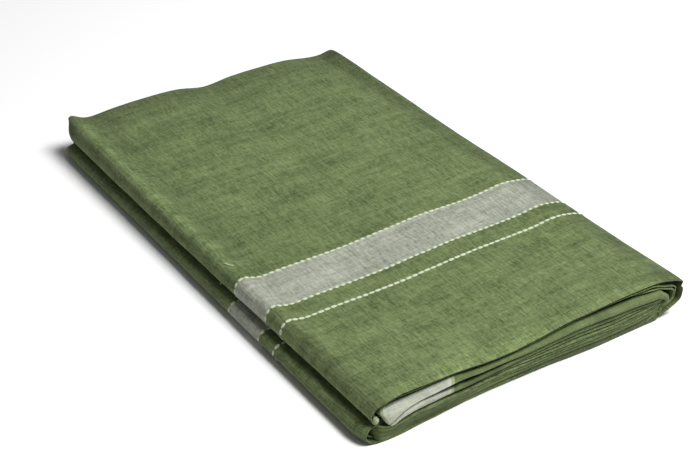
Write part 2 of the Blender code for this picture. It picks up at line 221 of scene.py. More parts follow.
# Spacing of the mesh's columns round the section, and of its rows along the pack
COLUMN_SPACING = table("first_key last_key step", [
    (0, 2, 2.5),
    (2, 7, 0.8),
    (7, 16, 2.3),
    (16, 23, 1.1),
    (23, 34, 9.0),
    (34, 38, 0.9),
    (38, 40, 2.5),
])
ROW_STEP = 3.3
END_ROW_STEP = 0.9
END_ROWS_REACH = 7.0

# The second sheet's part of the section, and how many columns and rows the inner sheets skip
SECOND_FIRST_KEY = 1.0
SECOND_LAST_KEYS = 5.0
END_ROWS = 8
SECOND_ROW_STRIDE = 4
SECOND_COLUMN_STRIDE = 2
STACK_COLUMN_STRIDE = 3

# Soft troughs and ridges of the top, from one place to another. Negative depths are ridges.
TOP_CREASES = table("x_from y_from x_to y_to depth width", [
    (18.0, 12.0, 27.0, 96.0, 0.70, 6.0),
    (30.0, 8.0, 40.0, 70.0, -0.40, 9.0),
    (58.0, 2.0, 62.0, 44.0, 0.35, 7.0),
    (92.0, 0.0, 98.0, 60.0, 0.45, 9.0),
    (118.0, 4.0, 112.0, 90.0, -0.30, 8.0),
    (140.0, 10.0, 152.0, 110.0, 0.32, 9.0),
    (180.0, 6.0, 176.0, 80.0, -0.30, 10.0),
    (206.0, 20.0, 214.0, 150.0, 0.42, 8.0),
    (232.0, 10.0, 238.0, 140.0, -0.35, 6.0),
    (24.0, 160.0, 20.0, 300.0, 0.55, 6.0),
    (40.0, 190.0, 52.0, 330.0, -0.35, 10.0),
    (66.0, 210.0, 60.0, 350.0, 0.38, 9.0),
    (96.0, 170.0, 104.0, 300.0, -0.30, 9.0),
    (128.0, 230.0, 122.0, 418.0, 0.60, 9.0),
    (150.0, 180.0, 158.0, 290.0, 0.30, 9.0),
    (182.0, 240.0, 190.0, 400.0, -0.32, 10.0),
    (212.0, 200.0, 204.0, 330.0, 0.34, 8.0),
    (232.0, 260.0, 238.0, 415.0, 0.50, 7.0),
    (6.0, 330.0, 60.0, 352.0, 0.22, 7.0),
    (150.0, 60.0, 240.0, 52.0, 0.16, 6.0),
])

# Painted shade and painted highlight on the top's cloth: darker on the spine's shoulder, in a trough, at the
# front left, the front right and the back edge, paler on the left ridge and the front edge; how much paler or
# deeper it is painted there, and how wide
TONE = "x_from y_from x_to y_to share width"
TOP_PAINTED_LIGHT = table(TONE, [
    (246.0, -60.0, 246.0, 500.0, -0.32, 15.0),
    (8.0, 110.0, 8.0, 520.0, 0.16, 3.6),
    (24.0, 110.0, 26.0, 520.0, -0.14, 9.0),
    (44.0, 3.0, 148.0, 3.0, 0.27, 9.0),
    (13.0, -30.0, 11.0, 105.0, -0.32, 4.5),
    (222.0, 1.0, 300.0, 1.0, -0.22, 14.0),
    (-90.0, 426.0, 340.0, 426.0, -0.17, 24.0),
    (-90.0, 440.0, 340.0, 440.0, -0.10, 90.0),
])

# The same painted light up the left side of the upper lobe, where x stands for the place along and y for the
# height: a paler band low on the side, painted light from the floor's bounce, and painted shade at the back
# corner
SIDE_PAINTED_LIGHT = table(TONE, [
    (-150.0, 17.0, 570.0, 17.0, 0.16, 5.5),
    (-40.0, 19.0, 130.0, 19.0, 0.16, 6.0),
    (398.0, 22.0, 450.0, 22.0, -0.30, 10.0),
])

# Painted shadow where the outer sheet's lowest edge meets the floor at the front end, where y stands for the
# height
EDGE_PAINTED_SHADOW = table(TONE, [(-7.0, 2.2, 20.0, 0.2, -0.40, 3.0)])

# Painted shade on the folds at the front end, in the creases under the folds and low down towards the floor,
# where y stands for the height
FOLD_PAINTED_SHADE = table(TONE, [
    (40.0, 21.7, 71.0, 19.7, -0.75, 1.1),
    (92.0, 19.2, 128.0, 18.6, -0.20, 1.9),
    (66.0, 17.6, 106.0, 16.2, -0.34, 2.4),
    (67.0, 23.2, 82.0, 22.8, -0.14, 1.9),
    (-10.0, 4.0, 82.0, 4.0, -0.16, 7.0),
    (108.0, 1.0, 262.0, 1.5, -0.42, 4.2),
    (140.0, 6.0, 242.0, 7.0, -0.15, 2.5),
])

# Softness of the surface: its heights and the cells they vary over, shifted so that no place is negative
SOFTNESS = table("height cell_across cell_along seed", [
    (0.28, 46.0, 62.0, 3),
    (0.14, 19.0, 26.0, 7),
    (0.05, 8.0, 9.0, 12),
])
NOISE_SHIFT = 40.0

# The spine's front corner: its tip stands out over a pinch
PINCH_REACH = 30.0
PINCH_DEPTH = 1.9
PINCH_HEIGHT = 22.9
PINCH_WIDTH = 1.5
TIP_PROUD = 0.8
TIP_HEIGHT = 25.4
TIP_WIDTH = 1.4

# The border: places along the pack from the front end, and its wave
BAND_START = 117.6
BAND_END = 156.0
OUTER_LINE = 99.2
LINE_HALF = 0.55
FOLD_LINE_HALF = 1.8
BORDER_WAVE = 0.55
BORDER_WAVE_CELL = 34.0
BORDER_SEED = 21
BORDER_SOFTNESS = 0.18
NO_BORDER = -1000.0

# The border's dashed lines: each one's place, and the size of its dashes against the set one
BORDER_LINES = table("name place length width", [
    ("outer_line", OUTER_LINE, 1.0, 1.0),
    ("band_front_line", BAND_START, 0.78, 1.0),
    ("band_back_line", BAND_END, 0.82, 0.9),
])
RESTING_HEIGHT = 2.0
DASH_HEIGHT = 0.6
DASH_BLUNTNESS = 0.6
DASH_BALL = {"Segments": 10, "Rings": 7, "Radius": 1.0}
DASH_LEAST = (0.88, 0.82, 0.85)
DASH_MOST = (1.08, 1.14, 1.15)
DASH_SOCKETS = (
    ("Geometry", "Geometry"),
    ("Pitch", "Float"),
    ("Length", "Float"),
    ("Width", "Float"),
    ("Height", "Float"),
    ("Seed", "Int"),
    ("Material", "Material"),
)

# The pale knot of thread on the left ridge
KNOT_PATH = ((5.4, 177.6), (6.6, 178.2), (8.4, 178.6), (9.2, 177.2), (9.8, 174.8), (12.0, 173.2))
KNOT_PITCH = 2.0
KNOT_LENGTH = 2.6
KNOT_WIDTH = 1.5
KNOT_PROUD = 0.35
KNOT_FACING = (-0.15, 0.0, 0.99)

# Folds at the front end, upper half: heights of each one's lower and upper side, and how far it stands out
FOLD_NAMES = ("core", "next", "thin", "thick")
UPPER_FOLDS = "x " + " ".join(f"{name}_low {name}_high {name}_out" for name in FOLD_NAMES)
# The two inner folds where they have run out, and stand far back
RUN_OUT = (13.2, 13.4, -6.0, 13.3, 13.5, -6.0)
FRONT_UPPER = table(UPPER_FOLDS, [
    (5.0, *RUN_OUT, 13.4, 13.6, -6.0, 20.6, 20.8, 0.0),
    (10.0, *RUN_OUT, 13.4, 13.6, -6.0, 19.0, 19.4, 1.0),
    (13.0, *RUN_OUT, 13.2, 13.4, -6.0, 18.2, 19.6, 2.6),
    (14.8, *RUN_OUT, 12.2, 12.4, -6.0, 15.4, 20.2, 4.2),
    (16.6, *RUN_OUT, 10.8, 11.0, 2.0, 12.0, 20.8, 4.9),
    (20.0, *RUN_OUT, 11.2, 12.2, 4.7, 12.6, 21.2, 5.3),
    (24.0, *RUN_OUT, 12.6, 14.6, 4.9, 15.0, 21.4, 5.4),
    (28.0, *RUN_OUT, 13.5, 17.3, 5.1, 17.8, 21.6, 5.5),
    (32.0, *RUN_OUT, 14.0, 19.0, 5.1, 19.6, 21.9, 5.5),
    (37.0, *RUN_OUT, 14.3, 20.2, 5.0, 21.0, 22.4, 5.4),
    (48.0, 13.2, 13.4, -6.0, 13.4, 13.8, -6.0, 14.7, 20.7, 4.9, 21.9, 22.9, 5.2),
    (60.0, 13.1, 13.4, -6.0, 13.6, 14.2, -4.0, 15.0, 20.7, 4.5, 22.9, 23.5, 4.9),
    (68.0, 13.0, 13.5, -4.0, 13.8, 14.6, -1.0, 15.1, 19.7, 4.0, 23.1, 23.8, 4.4),
    (76.0, 13.0, 13.8, -2.0, 14.0, 14.9, -0.3, 15.2, 17.9, 3.3, 22.0, 23.0, 3.3),
    (85.0, 13.0, 14.2, -0.2, 14.4, 15.0, 0.2, 15.3, 17.8, 2.6, 20.4, 22.1, 2.4),
    (102.0, 13.0, 14.4, 0.8, 14.6, 15.4, 0.4, 15.7, 18.1, 1.8, 19.7, 21.8, 1.8),
    (118.0, 13.0, 14.4, 1.2, 14.6, 15.6, 0.8, 15.9, 18.5, 1.5, 19.2, 22.0, 2.0),
    (134.0, 13.0, 14.4, 1.6, 14.7, 16.2, 0.9, 16.5, 19.6, 1.4, 20.4, 23.0, 2.4),
    (150.0, 13.2, 14.7, 2.0, 15.0, 17.0, 1.0, 17.4, 20.9, 1.2, 21.7, 25.0, 2.8),
    (166.0, 13.4, 15.0, 2.1, 15.3, 17.6, 1.1, 18.0, 21.8, 1.2, 22.6, 26.2, 3.0),
    (182.0, 12.8, 14.4, 1.9, 14.8, 17.0, 1.0, 17.4, 21.2, 1.0, 22.2, 26.1, 3.0),
    (200.0, 12.6, 14.1, 1.6, 14.5, 16.6, 0.8, 17.0, 20.2, 0.9, 21.0, 25.7, 2.8),
    (218.0, 13.4, 14.7, 1.2, 15.0, 16.4, 0.6, 16.7, 19.2, 0.8, 20.0, 25.7, 2.5),
    (233.0, 15.0, 15.7, 0.2, 15.9, 16.8, 0.2, 17.0, 18.2, 0.5, 18.8, 25.4, 2.2),
])

# The lower half: its top, how far its first and last fold stand out, and the share down it where each ends
LOWER_FOLDS = "x top out_high out_low core_end next_end thin_end thick_end"
FRONT_LOWER = table(LOWER_FOLDS, [
    (8.4, 12.4, -2.6, -2.8, 0.12, 0.36, 0.64, 1.0),
    (11.0, 12.2, 1.8, 1.2, 0.12, 0.36, 0.64, 1.0),
    (15.0, 11.6, 3.8, 2.6, 0.12, 0.35, 0.63, 1.0),
    (21.0, 11.0, 4.8, 2.4, 0.12, 0.34, 0.62, 1.0),
    (36.0, 13.0, 4.9, 0.6, 0.14, 0.36, 0.60, 1.0),
    (51.0, 13.5, 4.6, -0.4, 0.18, 0.40, 0.62, 1.0),
    (66.0, 13.2, 3.7, -1.2, 0.18, 0.42, 0.64, 1.0),
    (80.0, 12.8, 2.7, -1.0, 0.18, 0.40, 0.66, 1.0),
    (108.0, 12.8, 1.6, -1.6, 0.18, 0.36, 0.62, 1.0),
    (130.0, 12.8, 1.4, -1.3, 0.16, 0.38, 0.60, 1.0),
    (161.0, 13.2, 1.4, -0.6, 0.18, 0.34, 0.58, 1.0),
    (186.0, 12.6, 1.4, 0.1, 0.16, 0.36, 0.60, 1.0),
    (203.0, 12.4, 1.2, -0.3, 0.16, 0.34, 0.56, 1.0),
    (228.0, 14.2, 0.4, -1.0, 0.16, 0.34, 0.56, 1.0),
    (233.0, 14.8, 0.2, -1.0, 0.16, 0.34, 0.56, 1.0),
])

# The same at the back end
BACK_UPPER = table(UPPER_FOLDS, [
    (5.0, 14.2, 16.0, 0.4, 16.4, 18.6, 0.6, 19.0, 21.4, 0.6, 21.9, 27.0, 0.4),
    (20.0, 14.0, 16.0, 1.6, 16.2, 18.4, 2.0, 18.7, 21.0, 2.4, 21.4, 24.2, 1.2),
    (50.0, 13.6, 16.4, 2.6, 16.7, 19.6, 3.2, 20.0, 23.0, 2.4, 23.6, 26.6, 1.4),
    (80.0, 13.2, 16.6, 3.4, 17.0, 20.2, 3.8, 20.6, 24.0, 2.2, 24.6, 27.6, 1.4),
    (106.0, 13.0, 16.4, 3.2, 16.8, 19.6, 3.0, 20.0, 23.2, 2.6, 23.8, 26.8, 1.6),
    (128.0, 13.0, 15.4, 2.0, 15.7, 17.8, 2.4, 18.1, 20.6, 1.6, 21.2, 23.4, 1.4),
    (160.0, 13.2, 15.6, 2.4, 15.9, 18.6, 1.8, 19.0, 22.2, 2.6, 22.8, 26.2, 1.8),
    (195.0, 13.4, 16.0, 1.8, 16.4, 19.2, 2.2, 19.6, 22.6, 1.8, 23.2, 26.4, 1.6),
    (222.0, 13.8, 15.4, 0.8, 15.8, 17.6, 1.2, 18.0, 20.0, 0.8, 20.6, 23.4, 0.8),
    (233.0, 14.2, 15.4, 0.2, 15.7, 17.0, 0.4, 17.3, 18.8, 0.4, 19.4, 21.6, 0.4),
])
BACK_LOWER = table(LOWER_FOLDS, [
    (5.4, 12.6, -3.2, -3.6, 0.16, 0.36, 0.58, 0.80),
    (24.0, 12.8, -1.0, -3.0, 0.18, 0.38, 0.56, 0.80),
    (50.0, 12.8, 1.2, -1.0, 0.16, 0.34, 0.58, 0.80),
    (80.0, 12.6, 1.6, -0.4, 0.14, 0.36, 0.56, 0.78),
    (120.0, 12.4, 1.4, -0.4, 0.16, 0.32, 0.54, 0.78),
    (160.0, 12.8, 1.6, -0.4, 0.14, 0.34, 0.56, 0.76),
    (200.0, 13.2, 1.2, -0.6, 0.16, 0.34, 0.54, 0.76),
    (233.0, 14.0, 0.0, -1.2, 0.16, 0.32, 0.52, 0.74),
])

# Round the spine, each fold's inner and outer side as shares of the way out to the outer sheet
SPINE_CENTRE = 233.0
FAN_LEFT = SPINE_CENTRE - 1.0
SPINE_FOLDS = table("name turn inner outer out", [
    ("core", 35.0, 0.04, 0.07, 0.0),
    ("core", -35.0, 0.05, 0.08, 0.0),
    ("next", 35.0, 0.08, 0.11, 0.0),
    ("next", -35.0, 0.10, 0.14, 0.0),
    ("thin", 35.0, 0.12, 0.16, 0.2),
    ("thin", 0.0, 0.14, 0.18, 0.2),
    ("thin", -35.0, 0.16, 0.20, 0.2),
    ("thick", 75.0, 0.18, 0.545, 2.0),
    ("thick", 60.0, 0.18, 0.465, 1.9),
    ("thick", 45.0, 0.19, 0.43, 1.8),
    ("thick", 25.0, 0.21, 0.40, 1.6),
    ("thick", 0.0, 0.24, 0.42, 1.4),
    ("thick", -35.0, 0.24, 0.42, 0.8),
])

# The loose fold between the thick one and the second sheet: round the spine, before it and after it
FRONT_LOOSE = table("turn inner outer out", [
    (-90.0, 0.66, 0.76, -4.0),
    (-25.0, 0.52, 0.58, -0.4),
    (0.0, 0.54, 0.60, 0.0),
    (10.0, 0.56, 0.62, 0.1),
    (23.0, 0.60, 0.66, 0.2),
    (35.0, 0.59, 0.65, 0.2),
    (51.0, 0.575, 0.635, 0.1),
    (70.0, 0.60, 0.66, 0.0),
    (90.0, 0.65, 0.70, -0.2),
])
LEAD_PLACES = (208.0, 222.0, SPINE_CENTRE)
LEAD_RISE = (1.6, 1.3, 0.0)
LEAD_OUT_PLACES = (208.0, 220.0, SPINE_CENTRE)
LEAD_OUT = (-3.0, -0.6)
TAIL_PLACES = (214.0, SPINE_CENTRE)
TAIL_DROP = (-1.2, 0.0)
TAIL_OUT = -4.0

# The folds that are built: which fold of which end, where it starts, and whether the border crosses it
END_FOLDS = table("name fold end start_x banded", [
    ("border_fold", "thick", "front", 12.4, True),
    ("lower_border_fold", "thin", "front", 17.0, True),
    ("front_next_fold", "next", "front", 52.0, False),
    ("front_core_fold", "core", "front", 66.0, False),
    ("back_thick_fold", "thick", "back", 8.0, False),
    ("back_thin_fold", "thin", "back", 8.0, False),
    ("back_next_fold", "next", "back", 8.0, False),
    ("back_core_fold", "core", "back", 8.0, False),
])

# The folds' stations, depth and noses, and how unevenly they run
STATION_STEP = 1.7
FAN_STATIONS = 34
NOSE_STATIONS = 13
NOSE_POWER = 0.8
MIDWAY = 0.3
FOLD_DEPTH = 9.0
FOLD_GAP = 0.10
END_ROUNDING = 3.0
THINNEST_SHARE = 0.0004
NOSE_SHARE = 0.5
DEEPEST_NOSE = 2.6
FLAT_NOSE = 0.3
FLAT_NOSE_SHARE = 0.4
LOW_NOSE_CUT = 0.4
LEAST_NOSE = 0.1
FOLD_WAVER = 0.35
FOLD_WAVER_CELL = 19.0
FOLD_WAVER_SEED = 41
NOSE_WANDER = 0.32
NOSE_WANDER_CELL = 14.0
NOSE_WANDER_SEED = 5

# Where on the folds each of these starts, and the distance over which it grows
WAVER_FROM = (60.0, 40.0)
WAVER_TO = (SPINE_CENTRE, -20.0)
SOFT_NOSE_X = (60.0, 50.0)
SOFT_NOSE_HEIGHT = (12.6, 1.5)
LOW_NOSE_X = (234.0, -6.0)
LOW_NOSE_HEIGHT = (12.4, -2.0)

# The small grey tuck left of the thick fold
TUCK_X = 9.9
TUCK_SLANT = 1.4
TUCK_WIDTH = 3.4
TUCK_LOW = 14.2
TUCK_HIGH = 17.9
TUCK_DEPTH_IN = 2.0
TUCK_OUT = 2.6
TUCK_STATIONS = 15
TUCK_ROUNDING = 0.42
TUCK_END_BACK = 1.6
TUCK_BORDER = -0.8

# The border where it crosses the folds at the front end
FOLD_BAND_LEFT = 15.4
FOLD_BAND_SLANT = 0.66
FOLD_BAND_TOP = 20.5
FOLD_BAND_END = 64.6
FOLD_BAND_LEAN = 0.62

# How much deeper or paler the hidden and the folds' cloth is painted than the top's, as painted shade on the
# hidden layers and the folds' green and painted light on the folds' grey band, and how strong its lines are
STACK_PAINTED_SHADE = 0.6
FOLD_GREEN_PAINTED_SHADE = 0.97
FOLD_GREY_PAINTED_LIGHT = 1.38
FOLD_CALM = 2.0
TOP_LINE_SHARE = 0.35
FOLD_LINE_SHARE = 0.45

# The weave: streaks of noise with how often they change round and along the cloth
WEAVE_NAME = "Woven Cotton"
STREAK = "around along detail seed weight"
WEAVE_STREAKS = table(STREAK, [
    (60.0, 700.0, 3.0, 2.0, 0.30),
    (700.0, 70.0, 3.0, 5.0, 0.45),
    (20.0, 190.0, 2.0, 9.0, 0.26),
    (190.0, 26.0, 2.0, 13.0, 0.20),
    (300.0, 1300.0, 2.0, 17.0, 0.42),
    (1300.0, 300.0, 2.0, 19.0, 0.54),
    (28.0, 56.0, 3.0, 23.0, 0.28),
])
# Thicker threads here and there, where their own noise rises past the cut
SLUBS = table(STREAK, [
    (900.0, 13.0, 1.0, 31.0, 1.5),
    (15.0, 800.0, 1.0, 37.0, 1.3),
    (1300.0, 40.0, 1.0, 43.0, 0.9),
    (40.0, 1200.0, 1.0, 47.0, 0.9),
])
SLUB_CUT = 0.85
STREAK_SHIFTS = (1.0, 1.7, 0.6)
STREAK_GAIN = 4.0
YARN_PITCH = 0.9
YARN_SHADE = 0.10
YARN_HEIGHT = 0.35
STREAK_HEIGHT = 0.5
WEAVE_BUMP_DEPTH = 0.4
COTTON_FINISH = {
    "Roughness": 0.92,
    "Specular IOR Level": 0.25,
    "Sheen Weight": 0.12,
    "Sheen Roughness": 0.5,
    "Sheen Tint": (0.75, 0.85, 0.62, 1.0),
}

# The dashes' yarn
FIBRE_SCALE = 2600.0
FIBRE_DETAIL = 2.0
YARN_DEEP = 0.80
YARN_PALE = 1.12
YARN_BUMP = 0.4
YARN_BUMP_DEPTH = 0.1
YARN_FINISH = {"Roughness": 0.85, "Specular IOR Level": 0.3, "Sheen Weight": 0.2}

# The studio and the camera
CAMERA_AZIMUTH = -33.0
CAMERA_ELEVATION = 32.05
CAMERA_DISTANCE = 1.0812
CAMERA_TARGET = (-0.00228, -0.0099, 0.0)
CAMERA_LENS = 77.142857
SENSOR_WIDTH = 36.0
FLOOR_SIZE = 6.0
FLOOR_PALE = (0.80, 0.80, 0.80)
KEY_FROM = (0.32, -0.40, 0.88)
KEY_DISTANCE = 2.4
KEY_SIZE = 1.1
KEY_STRENGTH = 5.2
SURROUND_STRENGTH = 0.16


def smooth_step(t):
    """Eases from 0 to 1."""
    t = np.clip(t, 0.0, 1.0)
    return t * t * (3.0 - 2.0 * t)


def grown(value, start, over):
    """0 up to the start, easing to 1 over a distance, which is negative where it grows the other way."""
    return smooth_step((value - start) / over)


def bell(distance, width):
    """1 at no distance, falling away softly on both sides."""
    return np.exp(-((distance / width) ** 2))


def stretch_at(places, at):
    """The stretch between places that each value lies in, its width and the share of the way along it."""
    at = np.clip(np.asarray(at, float), places[0], places[-1])
    i = np.clip(np.searchsorted(places, at, side="right") - 1, 0, len(places) - 2)
    width = places[i + 1] - places[i]
    return i, width, (at - places[i]) / width


def eased(places, values, at):
    """Values at places, eased between the given ones."""
    places, values = np.asarray(places, float), np.asarray(values, float)
    i, _, t = stretch_at(places, at)
    return values[i] + (values[i + 1] - values[i]) * smooth_step(t)


def gentle(places, values, at):
    """Values at places, along a smooth curve through the given ones."""
    places, values = np.asarray(places, float), np.asarray(values, float)
    slopes = np.gradient(values, places)
    i, width, t = stretch_at(places, at)
    first = (2 * t**3 - 3 * t**2 + 1) * values[i] + (t**3 - 2 * t**2 + t) * width * slopes[i]
    return first + (3 * t**2 - 2 * t**3) * values[i + 1] + (t**3 - t**2) * width * slopes[i + 1]


def column(rows, field, at):
    """One column of a table, read along a smooth curve at places in the table's first column."""
    return gentle([row[0] for row in rows], [getattr(row, field) for row in rows], at)


def soft_noise(across, along, cell_across, cell_along, seed):
    """Smooth random heights from -1 to 1 that vary over cells of the given size."""
    rng = np.random.default_rng(seed)
    a, b = across / cell_across + NOISE_SHIFT, along / cell_along + NOISE_SHIFT
    cells = rng.uniform(-1.0, 1.0, (int(a.max()) + 3, int(b.max()) + 3))
    i, j = a.astype(int), b.astype(int)
    s, t = smooth_step(a - i), smooth_step(b - j)
    low = cells[i, j] * (1 - s) + cells[i + 1, j] * s
    high = cells[i, j + 1] * (1 - s) + cells[i + 1, j + 1] * s
    return low * (1 - t) + high * t


def line_noise(places, cell, seed):
    """The same along a line."""
    return soft_noise(places, np.zeros_like(places), cell, cell, seed)


def path_length(line):
    """Distance along a line of points from its first one."""
    return np.concatenate([[0.0], np.cumsum(np.linalg.norm(np.diff(line, axis=0), axis=1))])


# The outer sheet's section


def near_end(distance):
    """1 at an end of the pack, falling to 0 where its corners stop tucking in."""
    return (1.0 - min(distance / TUCK_DEPTH, 1.0)) ** 2


def relief_point(row, along, lean):
    """Key point of one ridge or hollow of the outer sheet at a share of the length."""
    height = float(eased(RELIEF_PLACES, row[1:], along))
    droop = CREST_DROOP * near_end(min(along, 1.0 - along) * PACK_LENGTH)
    return (row.x + lean * (1.0 - float(smooth_step(row.x / LEAN_REACH))), height - droop)


def section_keys(along):
    """Key points of the outer sheet's section, from the groove's root over the top and back to it."""
    forward = (1.0 - along) ** LEAN_POWER
    lean = LEAN * forward
    front, back = near_end(along * PACK_LENGTH), near_end((1.0 - along) * PACK_LENGTH)
    top = [relief_point(row, along, lean) for row in TOP_RELIEF]
    crest = top[0][1]
    keys = []
    for point in UPPER_LOBE:
        low = max(1.0 - point.share / UPPER_TUCK_SHARE, 0.0)
        upright = back * (max(UPPER_BACK_X - point.x, 0.0) + UPPER_BACK_TUCK * low)
        shift = 0.0 if point.x >= GROOVE_ROOT else lean + upright
        keys.append((point.x + shift, GROOVE_HIGH + (crest - GROOVE_HIGH) * point.share))
    keys.extend(top)
    keys.extend(relief_point(row, along, 0.0) for row in SPINE_RELIEF)
    keys.extend((row.x, 0.0) for row in reversed(TOP_RELIEF[1:]))
    lowered = GROOVE_LOW * (1.0 - LOWER_BACK_FLATTENING * back)
    tucked = LOWER_LEAN * forward + LOWER_FRONT_TUCK * front + LOWER_BACK_TUCK * back
    for point in LOWER_LOBE:
        share = float(smooth_step((GROOVE_ROOT - point.x) / GROOVE_ROOT))
        keys.append((point.x + tucked * share, point.share * lowered))
    return np.array(keys)


def column_places():
    """Where the section is sampled, counted in keys, closer together where it turns."""
    sizes = np.linalg.norm(np.diff(section_keys(0.5), axis=0), axis=1)
    places = []
    for stretch in COLUMN_SPACING:
        for key in range(stretch.first_key, min(stretch.last_key, len(sizes))):
            steps = max(1, round(sizes[key] / stretch.step))
            places.extend(key + k / steps for k in range(steps))
    return np.array([*places, len(sizes)])


def row_places():
    """Where the sheets' rows lie along the pack, closer together at its two ends."""
    end = np.arange(0.0, END_ROWS_REACH, END_ROW_STEP)
    steps = int((PACK_LENGTH - 2 * END_ROWS_REACH) / ROW_STEP)
    middle = np.linspace(END_ROWS_REACH, PACK_LENGTH - END_ROWS_REACH, steps)
    return np.concatenate([end, middle, PACK_LENGTH - end[::-1]])


def through(keys, places):
    """Points of a smooth line through the keys, at places counted in keys."""
    last = len(keys) - 1
    i = np.clip(places.astype(int), 0, last - 1)
    t = (places - i)[:, None]
    a, b = keys[np.maximum(i - 1, 0)], keys[i]
    c, d = keys[i + 1], keys[np.minimum(i + 2, last)]
    line = b + 0.5 * t * (c - a) + t * t * (a - 2.5 * b + 2 * c - 0.5 * d)
    line += 0.5 * t**3 * (3 * b - 3 * c + d - a)
    line[:, 1] = np.maximum(line[:, 1], 0.0)
    return line


def outward(line):
    """Unit directions out of the section at its points."""
    run = np.gradient(line, axis=0)
    run /= np.linalg.norm(run, axis=1)[:, None]
    return np.stack([-run[:, 1], run[:, 0]], axis=1)


def spine_share(line):
    """How much of the slack a sheet takes: none where the pack is flat, and the most low round the spine."""
    low = SHOULDER_SLACK + LOW_SLACK * grown(line[:, 1], *LOW_SLACK_HEIGHT)
    return low * grown(line[:, 0], *SLACK_X)


def inset_line(along, places, inset, slack):
    """The outer section moved inwards, and by the slack as well round the spine."""
    line = through(section_keys(along), places)
    return line - outward(line) * (inset + slack * spine_share(line))[:, None]


def softer_turn(line):
    """The section with its corner round the spine drawn softer."""
    share = grown(line[:, 0], *SOFT_TURN_X)[:, None]
    for _ in range(TURN_SOFTENING):
        softer = line.copy()
        softer[1:-1] = 0.25 * line[:-2] + 0.5 * line[1:-1] + 0.25 * line[2:]
        line = line + (softer - line) * share
    return line


# Creases, painted shade and highlight, and the border's wave


def beside_line(places, row, ends, power):
    """1 on a row's line from one place to another, falling away at its ends and on both sides."""
    start = np.array((row.x_from, row.y_from))
    run = np.array((row.x_to, row.y_to)) - start
    size = np.hypot(*run)
    offset = places - start
    along = offset @ run / size**2
    beside = np.abs(offset[..., 0] * run[1] - offset[..., 1] * run[0]) / size
    return grown(along, *ends) * grown(1.0 - along, *ends) * np.exp(-((beside / row.width) ** power))


def crease_heights(places):
    """Height that the creases add to the top at places across and along the pack."""
    return -sum(row.depth * beside_line(places, row, CREASE_ENDS, CREASE_POWER) for row in TOP_CREASES)


def painted_marks_at(places, tones):
    """How much paler or deeper the cloth is painted at the places, as painted shade and painted highlight,
    from -1 to 1.
    """
    return sum(row.share * beside_line(places, row, TONE_ENDS, TONE_POWER) for row in tones)


def outer_painted_marks(points):
    """The painted shade and highlight of the outer sheet: on its top, fading out down its sides, on its left
    side and on its lowest edge.
    """
    x, y, z = np.moveaxis(points, -1, 0)
    top = painted_marks_at(points[..., :2], TOP_PAINTED_LIGHT) * grown(z, *TOP_TONE_HEIGHT)
    side = painted_marks_at(points[..., 1:], SIDE_PAINTED_LIGHT) * grown(x, *SIDE_TONE_X) * grown(z, *SIDE_TONE_HEIGHT)
    return top + side + painted_marks_at(points[..., ::2], EDGE_PAINTED_SHADOW) * grown(y, *EDGE_TONE_Y)


def border_wave(around):
    """How far the border's lines wander along the pack at places round the section."""
    return BORDER_WAVE * line_noise(around, BORDER_WAVE_CELL, BORDER_SEED)


def without_border(points):
    """The border's coordinate on a piece that has none."""
    return np.full(points.shape[:2], NO_BORDER)


# The sheets that go round the pack


def outer_reach(line, end):
    """How far a sheet's edge stands out past the top's, low on the pack."""
    reach = eased([row.x for row in LOW_EDGES], [getattr(row, end) for row in LOW_EDGES], line[:, 0])
    return reach * (1.0 - grown(line[:, 1], UNDER_FLAT, GROOVE_LOW - UNDER_FLAT))


def second_reach(line, _end):
    """The second sheet's edge stands back in the crease and comes out round the spine."""
    share = grown(line[:, 0], *SECOND_PROUD_X) * grown(line[:, 1], *SECOND_PROUD_HEIGHT)
    return SECOND_PROUD * share - SECOND_SETBACK * (1.0 - share)


def softened(points, around, lines):
    """The points moved out of their section: by creases, softly all round but below, and at the corner."""
    x, y, z = np.moveaxis(points, -1, 0)
    bumps = np.zeros_like(x)
    for part in SOFTNESS:
        bumps += part.height * soft_noise(around, y, part.cell_across, part.cell_along, part.seed)
    in_groove = grown(x, *GROOVE_X) * grown(np.abs(z - GROOVE_MIDDLE), *GROOVE_NEAR)
    bumps *= grown(z, *SOFT_HEIGHT) * (1.0 - in_groove)
    bumps += grown(z, *CREASE_HEIGHT) * crease_heights(points[..., :2])
    corner = grown(x, *CORNER_X) * grown(y, PINCH_REACH, -PINCH_REACH)
    tip = TIP_PROUD * bell(z - TIP_HEIGHT, TIP_WIDTH)
    pinch = PINCH_DEPTH * bell(z - PINCH_HEIGHT, PINCH_WIDTH)
    bumps += corner * (tip - pinch)
    moved = points.copy()
    moved[..., ::2] += np.stack([outward(line) for line in lines]) * bumps[..., None]
    return moved


def turned_under(points, measure, line, turn, way):
    """Rows of points and measures that carry an edge round its turn and on inside the pack."""
    rows, measures = [], []
    for step in range(1, TURN_STEPS + 1):
        angle = math.pi * step / TURN_STEPS
        moved = points.copy()
        moved[:, 1] += way * turn * math.sin(angle)
        moved[:, ::2] -= outward(line) * turn * (1.0 - math.cos(angle))
        rows.append(moved)
        measures.append(measure + (0.0, way * turn * angle))
    last, last_measure = rows[-1], measures[-1]
    for share in INSIDE_ROWS:
        run = way * TURN_DEPTH * share
        rows.append(last - (0.0, run, 0.0))
        measures.append(last_measure + (0.0, run))
    return np.stack(rows), np.stack(measures)


